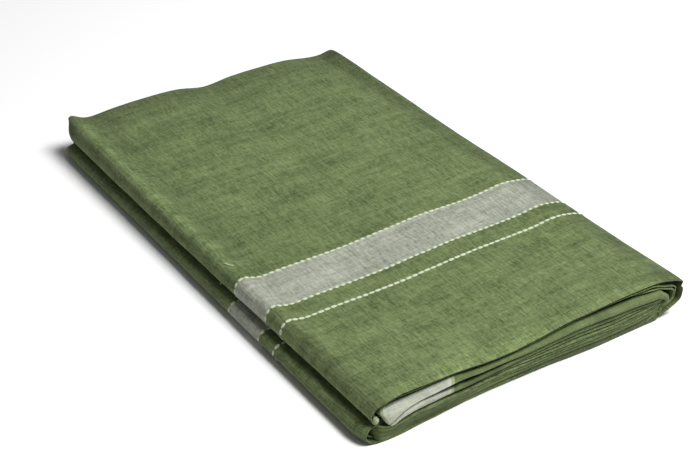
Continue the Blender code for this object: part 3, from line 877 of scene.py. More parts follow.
def wrapped_sheet(inset, slack, reach_at, turn, places, rows, soft):
    """Grid of a sheet that goes round the pack, its edges turned under at both ends, with its own measures.

    Gives the points in millimetres, and for each the distance round the section and along the pack."""
    lines = [inset_line(row / PACK_LENGTH, places, inset, slack) for row in rows]
    if slack:
        lines = [softer_turn(line) for line in lines]
    around = path_length(lines[len(lines) // 2])
    far_round = np.repeat(around[None, :], len(rows), axis=0)
    section = np.stack(lines)
    y = np.repeat(rows[:, None], len(places), axis=1)
    points = np.stack([section[..., 0], y, section[..., 1]], axis=-1)
    if soft:
        points = softened(points, far_round, lines)
    ragged = RAGGED_REACH * line_noise(around, RAGGED_CELL, RAGGED_SEED)
    forward = (reach_at(lines[0], "front") + ragged) * (1.0 - smooth_step(y / REACH_FADE))
    backward = (reach_at(lines[-1], "back") + ragged) * (1.0 - smooth_step((PACK_LENGTH - y) / REACH_FADE))
    points[..., 1] = y - forward + backward
    measure = np.stack([far_round, points[..., 1] - border_wave(far_round)], axis=-1)
    front, front_measure = turned_under(points[0], measure[0], lines[0], turn, -1.0)
    back, back_measure = turned_under(points[-1], measure[-1], lines[-1], turn, 1.0)
    points = np.concatenate([front[::-1], points, back])
    return points, np.concatenate([front_measure[::-1], measure, back_measure])


def outer_grid():
    """The outer sheet's points, measures and border coordinate."""
    soft = looks().soft_top
    points, measure = wrapped_sheet(0.0, 0.0, outer_reach, OUTER_TURN, column_places(), row_places(), soft)
    return points, measure, measure[..., 1] - BAND_START


def second_grid():
    """The same of the second sheet, which ends short of the groove's root and is finer round the spine."""
    top_ends = len(UPPER_LOBE) + len(TOP_RELIEF)
    spine_ends = top_ends + len(SPINE_RELIEF)
    places = column_places()
    kept = places[(places > SECOND_FIRST_KEY) & (places < spine_ends + len(TOP_RELIEF) + SECOND_LAST_KEYS)]
    in_turn = (kept > top_ends) & (kept < spine_ends)
    kept = kept[in_turn | (np.arange(len(kept)) % SECOND_COLUMN_STRIDE == 0)]
    rows = row_places()
    between_ends = rows[END_ROWS:-END_ROWS:SECOND_ROW_STRIDE]
    rows = np.concatenate([rows[:END_ROWS], between_ends, rows[-END_ROWS:]])
    points, measure = wrapped_sheet(SECOND_INSET, SECOND_SLACK, second_reach, INNER_TURN, kept, rows, False)
    return points, measure, without_border(points)


def stack_grid():
    """The section of the hidden layers, carried from one end of the pack to the other and closed round."""
    rows = np.linspace(STACK_SETBACK, PACK_LENGTH - STACK_SETBACK, STACK_ROWS)
    places = column_places()[::STACK_COLUMN_STRIDE]
    lines = np.stack([inset_line(row / PACK_LENGTH, places, STACK_INSET, STACK_SLACK) for row in rows])
    y = np.repeat(rows[:, None], len(places), axis=1)
    points = np.stack([lines[..., 0], y, np.maximum(lines[..., 1], STACK_INSET)], axis=-1)
    points = np.concatenate([points, points[:, :1]], axis=1)
    return points, points[..., 2:0:-1], without_border(points)


# From grids to pieces


def to_world(points):
    """Millimetres across, along and up into the part's frame, whose origin is under the pack's middle."""
    return (points - (MIDDLE_X, PACK_LENGTH / 2, 0.0)) * MM


def grid_faces(rows, columns, first=0):
    """Quads between neighbouring rows and columns of points."""
    j, i = np.meshgrid(np.arange(rows - 1), np.arange(columns - 1), indexing="ij")
    corner = first + (j * columns + i).ravel()
    return np.stack([corner, corner + 1, corner + columns + 1, corner + columns], axis=1)


def placed(name, data):
    """A new object of the scene with this mesh, light or camera."""
    made = bpy.data.objects.new(name, data)
    bpy.context.scene.collection.objects.link(made)
    return made


def add_values(mesh, name, values):
    """Gives a mesh a named number for each point."""
    mesh.attributes.new(name, "FLOAT", "POINT").data.foreach_set("value", values.ravel())


def cloth_object(name, grids, material, thickness=CLOTH_THICKNESS):
    """A cloth piece from grids of (points, measures, border), with its UV map in metres and its wall."""
    faces, count = [], 0
    for points, _, _ in grids:
        faces.append(grid_faces(*points.shape[:2], count))
        count += points[..., 0].size
    faces = np.concatenate(faces)
    vertices = np.concatenate([to_world(points).reshape(-1, 3) for points, _, _ in grids])
    measures = np.concatenate([measure.reshape(-1, 2) for _, measure, _ in grids]) * MM
    mesh = bpy.data.meshes.new(name)
    mesh.from_pydata(vertices.tolist(), [], faces.tolist())
    uv = mesh.uv_layers.new(name="cloth")
    uv.data.foreach_set("uv", measures[faces.ravel()].ravel())
    add_values(mesh, "border", np.concatenate([border.ravel() for _, _, border in grids]) * MM)
    mesh.materials.append(material)
    mesh.shade_smooth()
    piece = placed(name, mesh)
    if thickness:
        wall = piece.modifiers.new("Cloth", "SOLIDIFY")
        wall.thickness = thickness * MM
        wall.offset = -1.0
        wall.use_even_offset = False
    return piece


def declare(piece, replaced=()):
    """Attaches a finished cloth piece to its body, and hides the solids that it stands for."""
    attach(piece, BODY)
    if replaced:
        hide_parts(*replaced)


def close_ends(mesh):
    """Merges the seam of a tube and closes its two open ends with flat faces, all facing outwards."""
    built = bmesh.new()
    built.from_mesh(mesh)
    bmesh.ops.remove_doubles(built, verts=built.verts, dist=SEAM_MERGE * MM)
    bmesh.ops.holes_fill(built, edges=[edge for edge in built.edges if edge.is_boundary], sides=0)
    bmesh.ops.triangulate(built, faces=[face for face in built.faces if len(face.verts) > 4])
    bmesh.ops.recalc_face_normals(built, faces=built.faces)
    if built.calc_volume(signed=True) < 0.0:
        bmesh.ops.reverse_faces(built, faces=built.faces)
    built.to_mesh(mesh)
    built.free()


# Folds at the ends


def outer_points(along, turns, centre):
    """Where rays from the spine's centre meet the outer sheet's section."""
    line = through(section_keys(along), column_places())
    offset = line[line[:, 0] > FAN_LEFT] - centre
    angles = np.degrees(np.arctan2(offset[:, 1], offset[:, 0]))
    order = np.argsort(angles)
    x, z = (np.interp(turns, angles[order], values[order]) for values in offset.T)
    return centre + np.stack([x, z], axis=1)


def nose_profile(nose, depth):
    """Shares across a fold and distances behind its nose, from its outer side round to its inner one."""
    turns = np.linspace(0.0, math.pi, NOSE_STATIONS)
    back = nose[:, None] * (1.0 - np.sin(turns)[None, :] ** NOSE_POWER)
    straight = np.stack([nose + depth, nose + depth * MIDWAY], axis=1)
    behind = np.concatenate([straight, back, straight[:, ::-1]], axis=1)
    return np.concatenate([[1.0, 1.0], 0.5 + 0.5 * np.cos(turns), [0.0, 0.0]]), behind


def facing_out(points, end):
    """Whether the grid's normals point out of the pack: along the columns first, then along the rows."""
    middle, nose = points.shape[0] // 2, points.shape[1] // 2
    along = points[middle, nose + 1] - points[middle, nose]
    across = points[middle + 1, nose] - points[middle, nose]
    wanted = -1.0 if end == "front" else 1.0
    return np.cross(along, across)[1] * wanted > 0


def folded_edge(inner, outer, reach, nose, end, depth=FOLD_DEPTH):
    """Grid of a sheet folded at one end of the pack, with its nose standing out by the reach."""
    shares, behind = nose_profile(nose, depth)
    across = inner[:, None, :] + (outer - inner)[:, None, :] * shares[None, :, None]
    stands = reach[:, None] - behind
    y = -stands if end == "front" else PACK_LENGTH + stands
    points = np.stack([across[..., 0], y, across[..., 1]], axis=-1)
    path = path_length(0.5 * (inner + outer))
    round_nose = np.stack([path_length(row) for row in points])
    measure = np.stack([round_nose, np.repeat(path[:, None], points.shape[1], axis=1)], axis=-1)
    if facing_out(points, end):
        return points, measure
    return points[:, ::-1], measure[:, ::-1]


def rounded(distance, radius):
    """Share of its full size that a fold has near its own end."""
    t = np.clip(1.0 - distance / radius, 0.0, 1.0)
    return np.sqrt(np.maximum(1.0 - t * t, THINNEST_SHARE))


def upper_half(name, rows, start_x):
    """One fold's low and high side and how far it stands out, over the upper half of an end."""
    x = np.arange(start_x, SPINE_CENTRE, STATION_STEP)
    low, high, out = (column(rows, f"{name}_{side}", x) for side in ("low", "high", "out"))
    waver = FOLD_WAVER * line_noise(x, FOLD_WAVER_CELL, FOLD_WAVER_SEED)
    waver *= grown(x, *WAVER_FROM) * grown(x, *WAVER_TO)
    full = rounded(x - start_x, END_ROUNDING)
    middle, half = 0.5 * (low + high) + waver, 0.5 * (high - low) * full
    return x, middle - half, middle + half, out - (1.0 - full) * END_ROUNDING


def lower_half(name, rows):
    """One fold's first and last height and how far it stands out, from the spine back over the lower half."""
    k = FOLD_NAMES.index(name)
    x = np.arange(rows[0].x, SPINE_CENTRE, STATION_STEP)[::-1]
    top, high_out, low_out = (column(rows, field, x) for field in ("top", "out_high", "out_low"))
    ends = [np.zeros_like(x), *(column(rows, fold + "_end", x) for fold in FOLD_NAMES)]
    out = high_out + (low_out - high_out) * (ends[k] + ends[k + 1]) / (ends[3] + ends[4])
    full = rounded(x - rows[0].x, END_ROUNDING)
    return x, top * (1.0 - ends[k]), top * (1.0 - ends[k + 1]), out - (1.0 - full) * END_ROUNDING


def spine_centre(upper, lower):
    """The point that an end's folds fan out round."""
    return np.array((SPINE_CENTRE, 0.5 * (upper[-1].core_low + lower[-1].top)))


def fold_path(name, upper, lower, end, start_x):
    """Inner and outer side of one fold and how far it stands out, from the upper left round to the lower."""
    along = 0.0 if end == "front" else 1.0
    x, low, high, out = upper_half(name, upper, start_x)
    lower_x, first, last, lower_out = lower_half(name, lower)
    centre = spine_centre(upper, lower)
    turns = np.linspace(90.0, -90.0, FAN_STATIONS + 2)[1:-1]
    fan = outer_points(along, turns, centre) - centre
    above, below = outer_points(along, np.array([90.0, -90.0]), centre)[:, 1] - centre[1]
    shares = [(-90.0, (first[0] - centre[1]) / below, (last[0] - centre[1]) / below, lower_out[0])]
    shares.extend(fold[1:] for fold in reversed(SPINE_FOLDS) if fold.name == name)
    shares.append((90.0, (low[-1] - centre[1]) / above, (high[-1] - centre[1]) / above, out[-1]))
    places, *columns = np.array(shares).T
    fan_inner, fan_outer, fan_out = (gentle(places, values, turns) for values in columns)
    inner = [np.stack([x, low + FOLD_GAP], axis=1), centre + fan * fan_inner[:, None]]
    outer = [np.stack([x, high - FOLD_GAP], axis=1), centre + fan * fan_outer[:, None]]
    inner.append(np.stack([lower_x, first - FOLD_GAP], axis=1))
    outer.append(np.stack([lower_x, last + FOLD_GAP], axis=1))
    return np.concatenate(inner), np.concatenate(outer), np.concatenate([out, fan_out, lower_out])


def nose_sizes(inner, outer, end):
    """How deep each fold's nose is: shallow where the folds lie flush, and rounder where they part."""
    thickness = np.linalg.norm(outer - inner, axis=1)
    soft = np.ones(len(inner))
    if end == "front":
        upper = grown(0.5 * (inner + outer)[:, 1], *SOFT_NOSE_HEIGHT)
        soft = np.maximum(grown(inner[:, 0], *SOFT_NOSE_X), upper)
    low = grown(inner[:, 1], *LOW_NOSE_HEIGHT) * grown(inner[:, 0], *LOW_NOSE_X)
    round_nose = np.minimum(thickness * NOSE_SHARE, DEEPEST_NOSE) * (1.0 - LOW_NOSE_CUT * low)
    return round_nose * soft + np.minimum(FLAT_NOSE, thickness * FLAT_NOSE_SHARE) * (1.0 - soft)


def fold_grid(name, end, start_x, banded):
    """One fold of the pack's end as a grid, with its border coordinate."""
    upper, lower = (FRONT_UPPER, FRONT_LOWER) if end == "front" else (BACK_UPPER, BACK_LOWER)
    inner, outer, reach = fold_path(name, upper, lower, end, start_x)
    stations = np.arange(len(reach)) * STATION_STEP
    reach = reach + NOSE_WANDER * line_noise(stations, NOSE_WANDER_CELL, len(name) + NOSE_WANDER_SEED)
    points, measure = folded_edge(inner, outer, reach, nose_sizes(inner, outer, end), end)
    border = without_border(points)
    if banded:
        upper_half_rows = np.arange(len(points)) < len(points) // 2
        start = FOLD_BAND_LEFT + FOLD_BAND_SLANT * (FOLD_BAND_TOP - points[..., 2])
        across = points[..., 0] - FOLD_BAND_LEAN * points[..., 1]
        share = (across - start) / (FOLD_BAND_END - start)
        border = np.where(upper_half_rows[:, None], share * (BAND_END - BAND_START), border)
    return points, measure, border


def loose_grid():
    """The loose fold round the spine's front end as a grid: its lead above, its fan and its tail below."""
    centre = spine_centre(FRONT_UPPER, FRONT_LOWER)
    turns = np.linspace(90.0, -90.0, FAN_STATIONS)
    fan = outer_points(0.0, turns, centre) - centre
    *shares, fan_out = (column(FRONT_LOOSE, field, turns) for field in ("inner", "outer", "out"))
    lead_x = np.arange(LEAD_PLACES[0], SPINE_CENTRE, STATION_STEP)
    tail_x = np.arange(TAIL_PLACES[0], SPINE_CENTRE, STATION_STEP)[::-1]
    sides = []
    for share in shares:
        side = centre + fan * share[:, None]
        lead = np.stack([lead_x, side[0, 1] + gentle(LEAD_PLACES, LEAD_RISE, lead_x)], axis=1)
        tail = np.stack([tail_x, side[-1, 1] + gentle(TAIL_PLACES, TAIL_DROP, tail_x)], axis=1)
        sides.append(np.concatenate([lead, side, tail]))
    lead_out = gentle(LEAD_OUT_PLACES, [*LEAD_OUT, fan_out[0]], lead_x)
    tail_out = gentle(TAIL_PLACES, [TAIL_OUT, fan_out[-1]], tail_x)
    inner, outer = sides
    nose = np.linalg.norm(outer - inner, axis=1) * NOSE_SHARE
    reach = np.concatenate([lead_out, fan_out, tail_out])
    points, measure = folded_edge(inner, outer, reach, nose, "front")
    return points, measure, without_border(points)


def tuck_grid():
    """The small tuck of grey border beside the thick fold's end."""
    height = np.linspace(0.0, 1.0, TUCK_STATIONS)
    full = rounded(np.minimum(height, 1.0 - height), TUCK_ROUNDING)
    z = TUCK_LOW + (TUCK_HIGH - TUCK_LOW) * height
    middle = TUCK_X + TUCK_SLANT * (height - 0.5)
    half = 0.5 * TUCK_WIDTH * full
    left, right = np.stack([middle - half, z], axis=1), np.stack([middle + half, z], axis=1)
    reach = TUCK_OUT - TUCK_END_BACK * (1.0 - full)
    points, measure = folded_edge(left, right, reach, np.maximum(half, LEAST_NOSE), "front", TUCK_DEPTH_IN)
    return points, measure, np.full(points.shape[:2], TUCK_BORDER)


# Materials


def node(tree, kind, inputs=None, **settings):
    """A node with its settings made, and its inputs set, or linked to a socket or a node's first output."""
    made = tree.nodes.new(kind)
    for key, value in settings.items():
        setattr(made, key, value)
    for key, value in (inputs or {}).items():
        if isinstance(value, bpy.types.Node):
            value = value.outputs[0]
        if isinstance(value, bpy.types.NodeSocket):
            tree.links.new(value, made.inputs[key])
        else:
            made.inputs[key].default_value = value
    return made


def maths(tree, operation, first, second=0.0, third=0.0):
    """The result of one sum on numbers or sockets."""
    return node(tree, "ShaderNodeMath", {0: first, 1: second, 2: third}, operation=operation).outputs[0]


def mixed(tree, share, first, second):
    """A colour between two others."""
    return node(tree, "ShaderNodeMix", {0: share, 6: first, 7: second}, data_type="RGBA").outputs[2]


def tinted(colour, tone):
    """A colour made lighter or darker, with its alpha."""
    return (*(min(c * tone, 1.0) for c in colour), 1.0)


def streaks(tree, cloth, streak):
    """Noise drawn out along one direction of the cloth, from about -1 to 1."""
    shift = tuple(streak.seed * share for share in STREAK_SHIFTS)
    sizes = {"Vector": cloth, "Location": shift, "Scale": (streak.around, streak.along, 1.0)}
    place = node(tree, "ShaderNodeMapping", sizes)
    noise = node(tree, "ShaderNodeTexNoise", {"Vector": place, "Scale": 1.0, "Detail": streak.detail})
    return maths(tree, "MULTIPLY_ADD", noise.outputs[0], STREAK_GAIN, -STREAK_GAIN / 2)


def weave_group():
    """Node group of the woven cotton: how light and how high each spot is."""
    group = bpy.data.node_groups.new(WEAVE_NAME, "ShaderNodeTree")
    group.interface.new_socket("Cloth", in_out="INPUT", socket_type="NodeSocketVector")
    for name in ("Shade", "Height"):
        group.interface.new_socket(name, in_out="OUTPUT", socket_type="NodeSocketFloat")
    cloth = group.nodes.new("NodeGroupInput").outputs[0]
    total = 0.0
    for streak in WEAVE_STREAKS:
        total = maths(group, "MULTIPLY_ADD", streaks(group, cloth, streak), streak.weight, total)
    for slub in SLUBS:
        past_cut = maths(group, "SUBTRACT", streaks(group, cloth, slub), SLUB_CUT)
        total = maths(group, "MULTIPLY_ADD", maths(group, "MAXIMUM", past_cut, 0.0), slub.weight, total)
    split = node(group, "ShaderNodeSeparateXYZ", {0: cloth})
    pitch = math.tau / (YARN_PITCH * MM)
    warp, weft = (maths(group, "SINE", maths(group, "MULTIPLY", way, pitch)) for way in split.outputs[:2])
    crossing = maths(group, "MULTIPLY", warp, weft)
    yarn_height = maths(group, "MULTIPLY", crossing, YARN_HEIGHT)
    out = group.nodes.new("NodeGroupOutput")
    group.links.new(maths(group, "MULTIPLY_ADD", crossing, YARN_SHADE, total), out.inputs[0])
    group.links.new(maths(group, "MULTIPLY_ADD", total, STREAK_HEIGHT, yarn_height), out.inputs[1])
    return group


def shared_weave():
    """The weave's node group, made once."""
    return bpy.data.node_groups.get(WEAVE_NAME) or weave_group()


def between(tree, value, low, high):
    """1 where a value lies between two others, with edges a fraction of a millimetre soft."""
    edges = []
    for place, way in ((low, 1.0), (high, -1.0)):
        soft = way * BORDER_SOFTNESS * MM
        limits = {"Value": value, "From Min": place - soft, "From Max": place + soft}
        edges.append(node(tree, "ShaderNodeMapRange", limits).outputs[0])
    return maths(tree, "MULTIPLY", *edges)


def new_material(name, finish):
    """A material with its node tree and shader, whose finish is set on the shader's sockets."""
    material = bpy.data.materials.new(name)
    material.use_nodes = True
    shader = material.node_tree.nodes["Principled BSDF"]
    for socket, value in finish.items():
        shader.inputs[socket].default_value = value
    return material, material.node_tree, shader


def add_bump(tree, shader, height, strength, distance):
    """Lets a height move the shader's normal."""
    sizes = {"Strength": strength, "Distance": distance * MM, "Height": height}
    tree.links.new(node(tree, "ShaderNodeBump", sizes).outputs[0], shader.inputs["Normal"])


def with_lines(tree, colour, border, share, half, tone):
    """The cloth's colour with the border's three cream lines painted over it."""
    lines = 0.0
    for place in (OUTER_LINE, BAND_START, BAND_END):
        start = place - BAND_START - half
        line = between(tree, border, start * MM, (start + 2 * half) * MM)
        lines = maths(tree, "MAXIMUM", lines, line)
    painted = maths(tree, "MULTIPLY", lines, share)
    return mixed(tree, painted, colour, tinted(looks().line_cream, tone))


def cloth_material(name, line_share=0.0, line_half=LINE_HALF, tone=1.0, grey_tone=1.0, calm=1.0):
    """Woven green cotton from deep to pale threads, with the grey border where its coordinate says."""
    settings = looks()
    material, tree, shader = new_material(name, COTTON_FINISH)
    cloth = node(tree, "ShaderNodeUVMap", uv_map="cloth")
    border = node(tree, "ShaderNodeAttribute", attribute_name="border").outputs["Fac"]
    weave = node(tree, "ShaderNodeGroup", node_tree=shared_weave())
    tree.links.new(cloth.outputs[0], weave.inputs[0])
    shade = node(tree, "ShaderNodeMapRange", {"Value": weave, "From Min": -calm, "From Max": calm})
    colours = []
    for deep, pale, share in (
        (settings.green_deep, settings.green_pale, tone),
        (settings.band_deep, settings.band_pale, grey_tone),
    ):
        colours.append(mixed(tree, shade, tinted(deep, share), tinted(pale, share)))
    band = between(tree, border, 0.0, (BAND_END - BAND_START) * MM)
    colour = mixed(tree, band, *colours)
    if line_share:
        colour = with_lines(tree, colour, border, line_share, line_half, tone)
    # Painted shade and highlight, kept in a point attribute of the mesh, scale the colour
    painted_light = node(tree, "ShaderNodeAttribute", attribute_name="painted_light").outputs["Fac"]
    scale = maths(tree, "ADD", painted_light, 1.0)
    toned = node(tree, "ShaderNodeVectorMath", {0: colour, "Scale": scale}, operation="SCALE")
    tree.links.new(toned.outputs[0], shader.inputs["Base Color"])
    add_bump(tree, shader, weave.outputs[1], settings.weave_bump, WEAVE_BUMP_DEPTH)
    return material


def yarn_material(name, colour):
    """Soft cotton yarn of one colour, with its twist."""
    material, tree, shader = new_material(name, YARN_FINISH)
    place = node(tree, "ShaderNodeTexCoord").outputs["Object"]
    fibre = node(tree, "ShaderNodeTexNoise", {"Vector": place, "Scale": FIBRE_SCALE, "Detail": FIBRE_DETAIL})
    twisted = mixed(tree, fibre, tinted(colour, YARN_DEEP), tinted(colour, YARN_PALE))
    tree.links.new(twisted, shader.inputs["Base Color"])
    add_bump(tree, shader, fibre, YARN_BUMP, YARN_BUMP_DEPTH)
    return material


# The border's dashes and the knot


def line_points(grid, place):
    """Points and outward directions of one border line on the outer sheet."""
    kept = slice(INNER_ROWS + 1, -INNER_ROWS - 1)
    points, measure = grid[0][kept], grid[1][kept]
    normal = np.cross(np.gradient(points, axis=1), np.gradient(points, axis=0))
    normal /= np.linalg.norm(normal, axis=-1)[..., None]
    line, facing = [], []
    for i in range(points.shape[1]):
        row = np.interp(place, measure[:, i, 1], np.arange(len(points)))
        j = min(int(row), len(points) - 2)
        share = row - j
        line.append(points[j, i] * (1 - share) + points[j + 1, i] * share)
        facing.append(normal[j, i] * (1 - share) + normal[j + 1, i] * share)
    return np.array(line), np.array(facing)


def knot_points(grid):
    """A short bent line of points on the left ridge, for the knot of thread."""
    points = grid[0][INNER_ROWS:-INNER_ROWS]
    row = int(np.abs(points[:, 0, 1] - KNOT_PATH[0][1]).argmin())
    columns = np.arange(points.shape[1])
    ridge = columns[(points[row, :, 2] > GROOVE_HIGH) & (columns < points.shape[1] // 3)]
    x, y = np.array(KNOT_PATH).T
    height = np.interp(x, points[row, ridge, 0], points[row, ridge, 2]) + KNOT_PROUD
    return np.stack([x, y, height], axis=1), np.repeat([KNOT_FACING], len(KNOT_PATH), axis=0)


def dash_tree():
    """Geometry Nodes that lay a dash at each step along a line, turned to it and to the cloth below."""
    tree = bpy.data.node_groups.new("Border dashes", "GeometryNodeTree")
    for name, kind in DASH_SOCKETS:
        tree.interface.new_socket(name, in_out="INPUT", socket_type="NodeSocket" + kind)
    tree.interface.new_socket("Geometry", in_out="OUTPUT", socket_type="NodeSocketGeometry")
    given = tree.nodes.new("NodeGroupInput").outputs
    curve = node(tree, "GeometryNodeMeshToCurve", {"Mesh": given["Geometry"]})
    steps = {"Curve": curve, "Length": given["Pitch"]}
    stepped = node(tree, "GeometryNodeResampleCurve", steps, mode="LENGTH")
    tangent = node(tree, "GeometryNodeInputTangent")
    facing = node(tree, "GeometryNodeInputNamedAttribute", {"Name": "facing"}, data_type="FLOAT_VECTOR")
    turn = "FunctionNodeAlignRotationToVector"
    lengthwise = node(tree, turn, {"Vector": tangent}, axis="X")
    upright = node(tree, turn, {"Rotation": lengthwise, "Vector": facing}, axis="Z", pivot_axis="X")
    ball = node(tree, "GeometryNodeMeshUVSphere", DASH_BALL)
    split = node(tree, "ShaderNodeSeparateXYZ", {0: node(tree, "GeometryNodeInputPosition")})
    size = maths(tree, "POWER", maths(tree, "ABSOLUTE", split.outputs[2]), DASH_BLUNTNESS)
    blunt = maths(tree, "MULTIPLY", size, maths(tree, "SIGN", split.outputs[2]))
    place = node(tree, "ShaderNodeCombineXYZ", {0: blunt, 1: split.outputs[1], 2: split.outputs[0]})
    grain = node(tree, "GeometryNodeSetPosition", {"Geometry": ball, "Position": place})
    limits = {0: DASH_LEAST, 1: DASH_MOST, "Seed": given["Seed"]}
    uneven = node(tree, "FunctionNodeRandomValue", limits, data_type="FLOAT_VECTOR")
    sizes = node(tree, "ShaderNodeCombineXYZ", {0: given["Length"], 1: given["Width"], 2: given["Height"]})
    halves = node(tree, "ShaderNodeVectorMath", {0: sizes, 1: (0.5, 0.5, 0.5)}, operation="MULTIPLY")
    scale = node(tree, "ShaderNodeVectorMath", {0: halves, 1: uneven}, operation="MULTIPLY")
    dashes = {"Points": stepped, "Instance": grain, "Rotation": upright, "Scale": scale}
    smooth = node(tree, "GeometryNodeSetShadeSmooth", {0: node(tree, "GeometryNodeInstanceOnPoints", dashes)})
    real = node(tree, "GeometryNodeRealizeInstances", {"Geometry": smooth})
    finished = node(tree, "GeometryNodeSetMaterial", {"Geometry": real, "Material": given["Material"]})
    tree.links.new(finished.outputs[0], tree.nodes.new("NodeGroupOutput").inputs[0])
    return tree


def line_object(name, points, facing):
    """A line of points as an open mesh that carries the cloth's outward direction."""
    mesh = bpy.data.meshes.new(name)
    mesh.from_pydata(to_world(points).tolist(), [(i, i + 1) for i in range(len(points) - 1)], [])
    mesh.attributes.new("facing", "FLOAT_VECTOR", "POINT").data.foreach_set("vector", facing.ravel())
    return placed(name, mesh)


def made_real(line, tree, inputs):
    """The line's nodes evaluated into a plain mesh on an object of its own."""
    modifier = line.modifiers.new("Dashes", "NODES")
    modifier.node_group = tree
    for item in tree.interface.items_tree:
        if item.in_out == "INPUT" and item.name in inputs:
            modifier[item.identifier] = inputs[item.name]
    graph = bpy.context.evaluated_depsgraph_get()
    mesh = bpy.data.meshes.new_from_object(line.evaluated_get(graph), depsgraph=graph)
    name = line.name
    bpy.data.objects.remove(line)
    mesh.name = name
    return placed(name, mesh)


def yarn_piece(name, paths, tree, pitch, length, width, material):
    """One piece of raised yarn: a dash at each step along its paths of points and outward directions."""
    inputs = {
        "Pitch": pitch,
        "Length": length,
        "Width": width,
        "Height": DASH_HEIGHT * MM,
        "Seed": looks().dash_seed,
        "Material": material,
    }
    pieces = [made_real(line_object(name, *path), tree, inputs) for path in paths]
    if len(pieces) > 1:
        with bpy.context.temp_override(active_object=pieces[0], selected_editable_objects=pieces):
            bpy.ops.object.join()
    pieces[0].name = name
    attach(pieces[0], BODY)


# Settings


def colour_setting(name, description, default):
    """A colour that a user may change."""
    return FloatVectorProperty(
        name=name, description=description, default=default, subtype="COLOR", min=0.0, max=1.0
    )


def length_setting(name, description, default, least, most):
    """A length that a user may change, from millimetres."""
    limits = {"default": default * MM, "min": least * MM, "max": most * MM}
    return FloatProperty(name=name, description=description, unit="LENGTH", **limits)


class LungiLooks(bpy.types.PropertyGroup):
    """Sizes and colours of the cloth that a user may change."""

    green_deep: colour_setting("Deep green", "Colour of the cloth's darkest threads", (0.032, 0.052, 0.013))
    green_pale: colour_setting("Pale green", "Colour of the cloth's lightest threads", (0.172, 0.220, 0.090))
    band_deep: colour_setting("Deep grey", "Colour of the band's darkest threads", (0.124, 0.141, 0.104))
    band_pale: colour_setting("Pale grey", "Colour of the band's lightest threads", (0.382, 0.398, 0.332))
    line_cream: colour_setting("Cream", "Colour of the border's dashed lines", (0.47, 0.515, 0.365))
    knot_green: colour_setting("Knot green", "Colour of the thread on the left ridge", (0.29, 0.37, 0.19))
    dash_pitch: length_setting("Dash pitch", "Distance from one dash of a line to the next", 4.8, 1.0, 20.0)
    dash_length: length_setting("Dash length", "Length of one dash", 4.3, 0.5, 20.0)
    dash_width: length_setting("Dash width", "Width of one dash", 2.5, 0.2, 5.0)
    dash_seed: IntProperty(name="Dash seed", description="Seed of the dashes' unevenness", default=4, min=0)
    weave_bump: FloatProperty(
        name="Weave relief",
        description="How strongly the threads stand out",
        default=0.35,
        min=0.0,
        max=1.0,
        subtype="FACTOR",
    )
    soft_top: BoolProperty(
        name="Soft creases",
        description="Adds the soft troughs and ridges of cloth that has lain folded",
        default=True,
    )


def looks():
    """The scene's settings."""
    return bpy.context.scene.lungi_looks


# Operators, one for each piece or group of like pieces


class LUNGI_OT_outer_cloth(bpy.types.Operator):
    """Adds the outermost sheet, which wraps the whole pack and shows its border"""

    bl_idname = "lungi.outer_cloth"
    bl_label = "Outer cloth"

    def execute(self, context):
        grid = outer_grid()
        piece = cloth_object(OUTER_NAME, [grid], cloth_material("green cotton with border", TOP_LINE_SHARE))
        # Painted shade and highlight on the outer sheet
        add_values(piece.data, "painted_light", outer_painted_marks(grid[0]))
        declare(piece, ["outer_wrap"])
        return {"FINISHED"}


class LUNGI_OT_second_cloth(bpy.types.Operator):
    """Adds the sheet below the outermost one, which shows in the crease and round the spine"""

    bl_idname = "lungi.second_cloth"
    bl_label = "Second cloth"

    def execute(self, context):
        grid = second_grid()
        piece = cloth_object(SECOND_NAME, [grid], cloth_material("green cotton below"))
        declare(piece, ["second_wrap"])
        return {"FINISHED"}


class LUNGI_OT_layer_stack(bpy.types.Operator):
    """Adds the layers that hide inside the pack, as one rounded solid set back at both ends"""

    bl_idname = "lungi.layer_stack"
    bl_label = "Layer stack"

    def execute(self, context):
        # The hidden layers are painted deeper, as painted shade inside the pack
        material = cloth_material("green cotton inside", tone=STACK_PAINTED_SHADE)
        piece = cloth_object(STACK_NAME, [stack_grid()], material, thickness=0.0)
        close_ends(piece.data)
        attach(piece, BODY)
        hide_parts("folded_layers")
        return {"FINISHED"}


class LUNGI_OT_end_folds(bpy.types.Operator):
    """Adds the folds that show at the front and back ends, each carried round the spine"""

    bl_idname = "lungi.end_folds"
    bl_label = "End folds"

    def execute(self, context):
        # The folds' green is painted a little deeper as painted shade, and their grey band paler as painted
        # light
        green = cloth_material("green cotton folds", tone=FOLD_GREEN_PAINTED_SHADE)
        banded = cloth_material(
            "green cotton folds with border",
            line_share=FOLD_LINE_SHARE,
            line_half=FOLD_LINE_HALF,
            tone=FOLD_GREEN_PAINTED_SHADE,
            grey_tone=FOLD_GREY_PAINTED_LIGHT,
            calm=FOLD_CALM,
        )
        for fold in END_FOLDS:
            grids = [fold_grid(fold.fold, fold.end, fold.start_x, fold.banded)]
            replaced = []
            if fold.name == "border_fold":
                grids.append(tuck_grid())
                replaced.append("front_fold")
            piece = cloth_object(fold.name, grids, banded if fold.banded else green)
            # Painted shade in the creases and low down on the front folds
            if fold.end == "front":
                tones = [painted_marks_at(points[..., ::2], FOLD_PAINTED_SHADE).ravel() for points, _, _ in grids]
                add_values(piece.data, "painted_light", np.concatenate(tones))
            declare(piece, replaced)
        grid = loose_grid()
        piece = cloth_object("front_loose_fold", [grid], green)
        declare(piece)
        return {"FINISHED"}


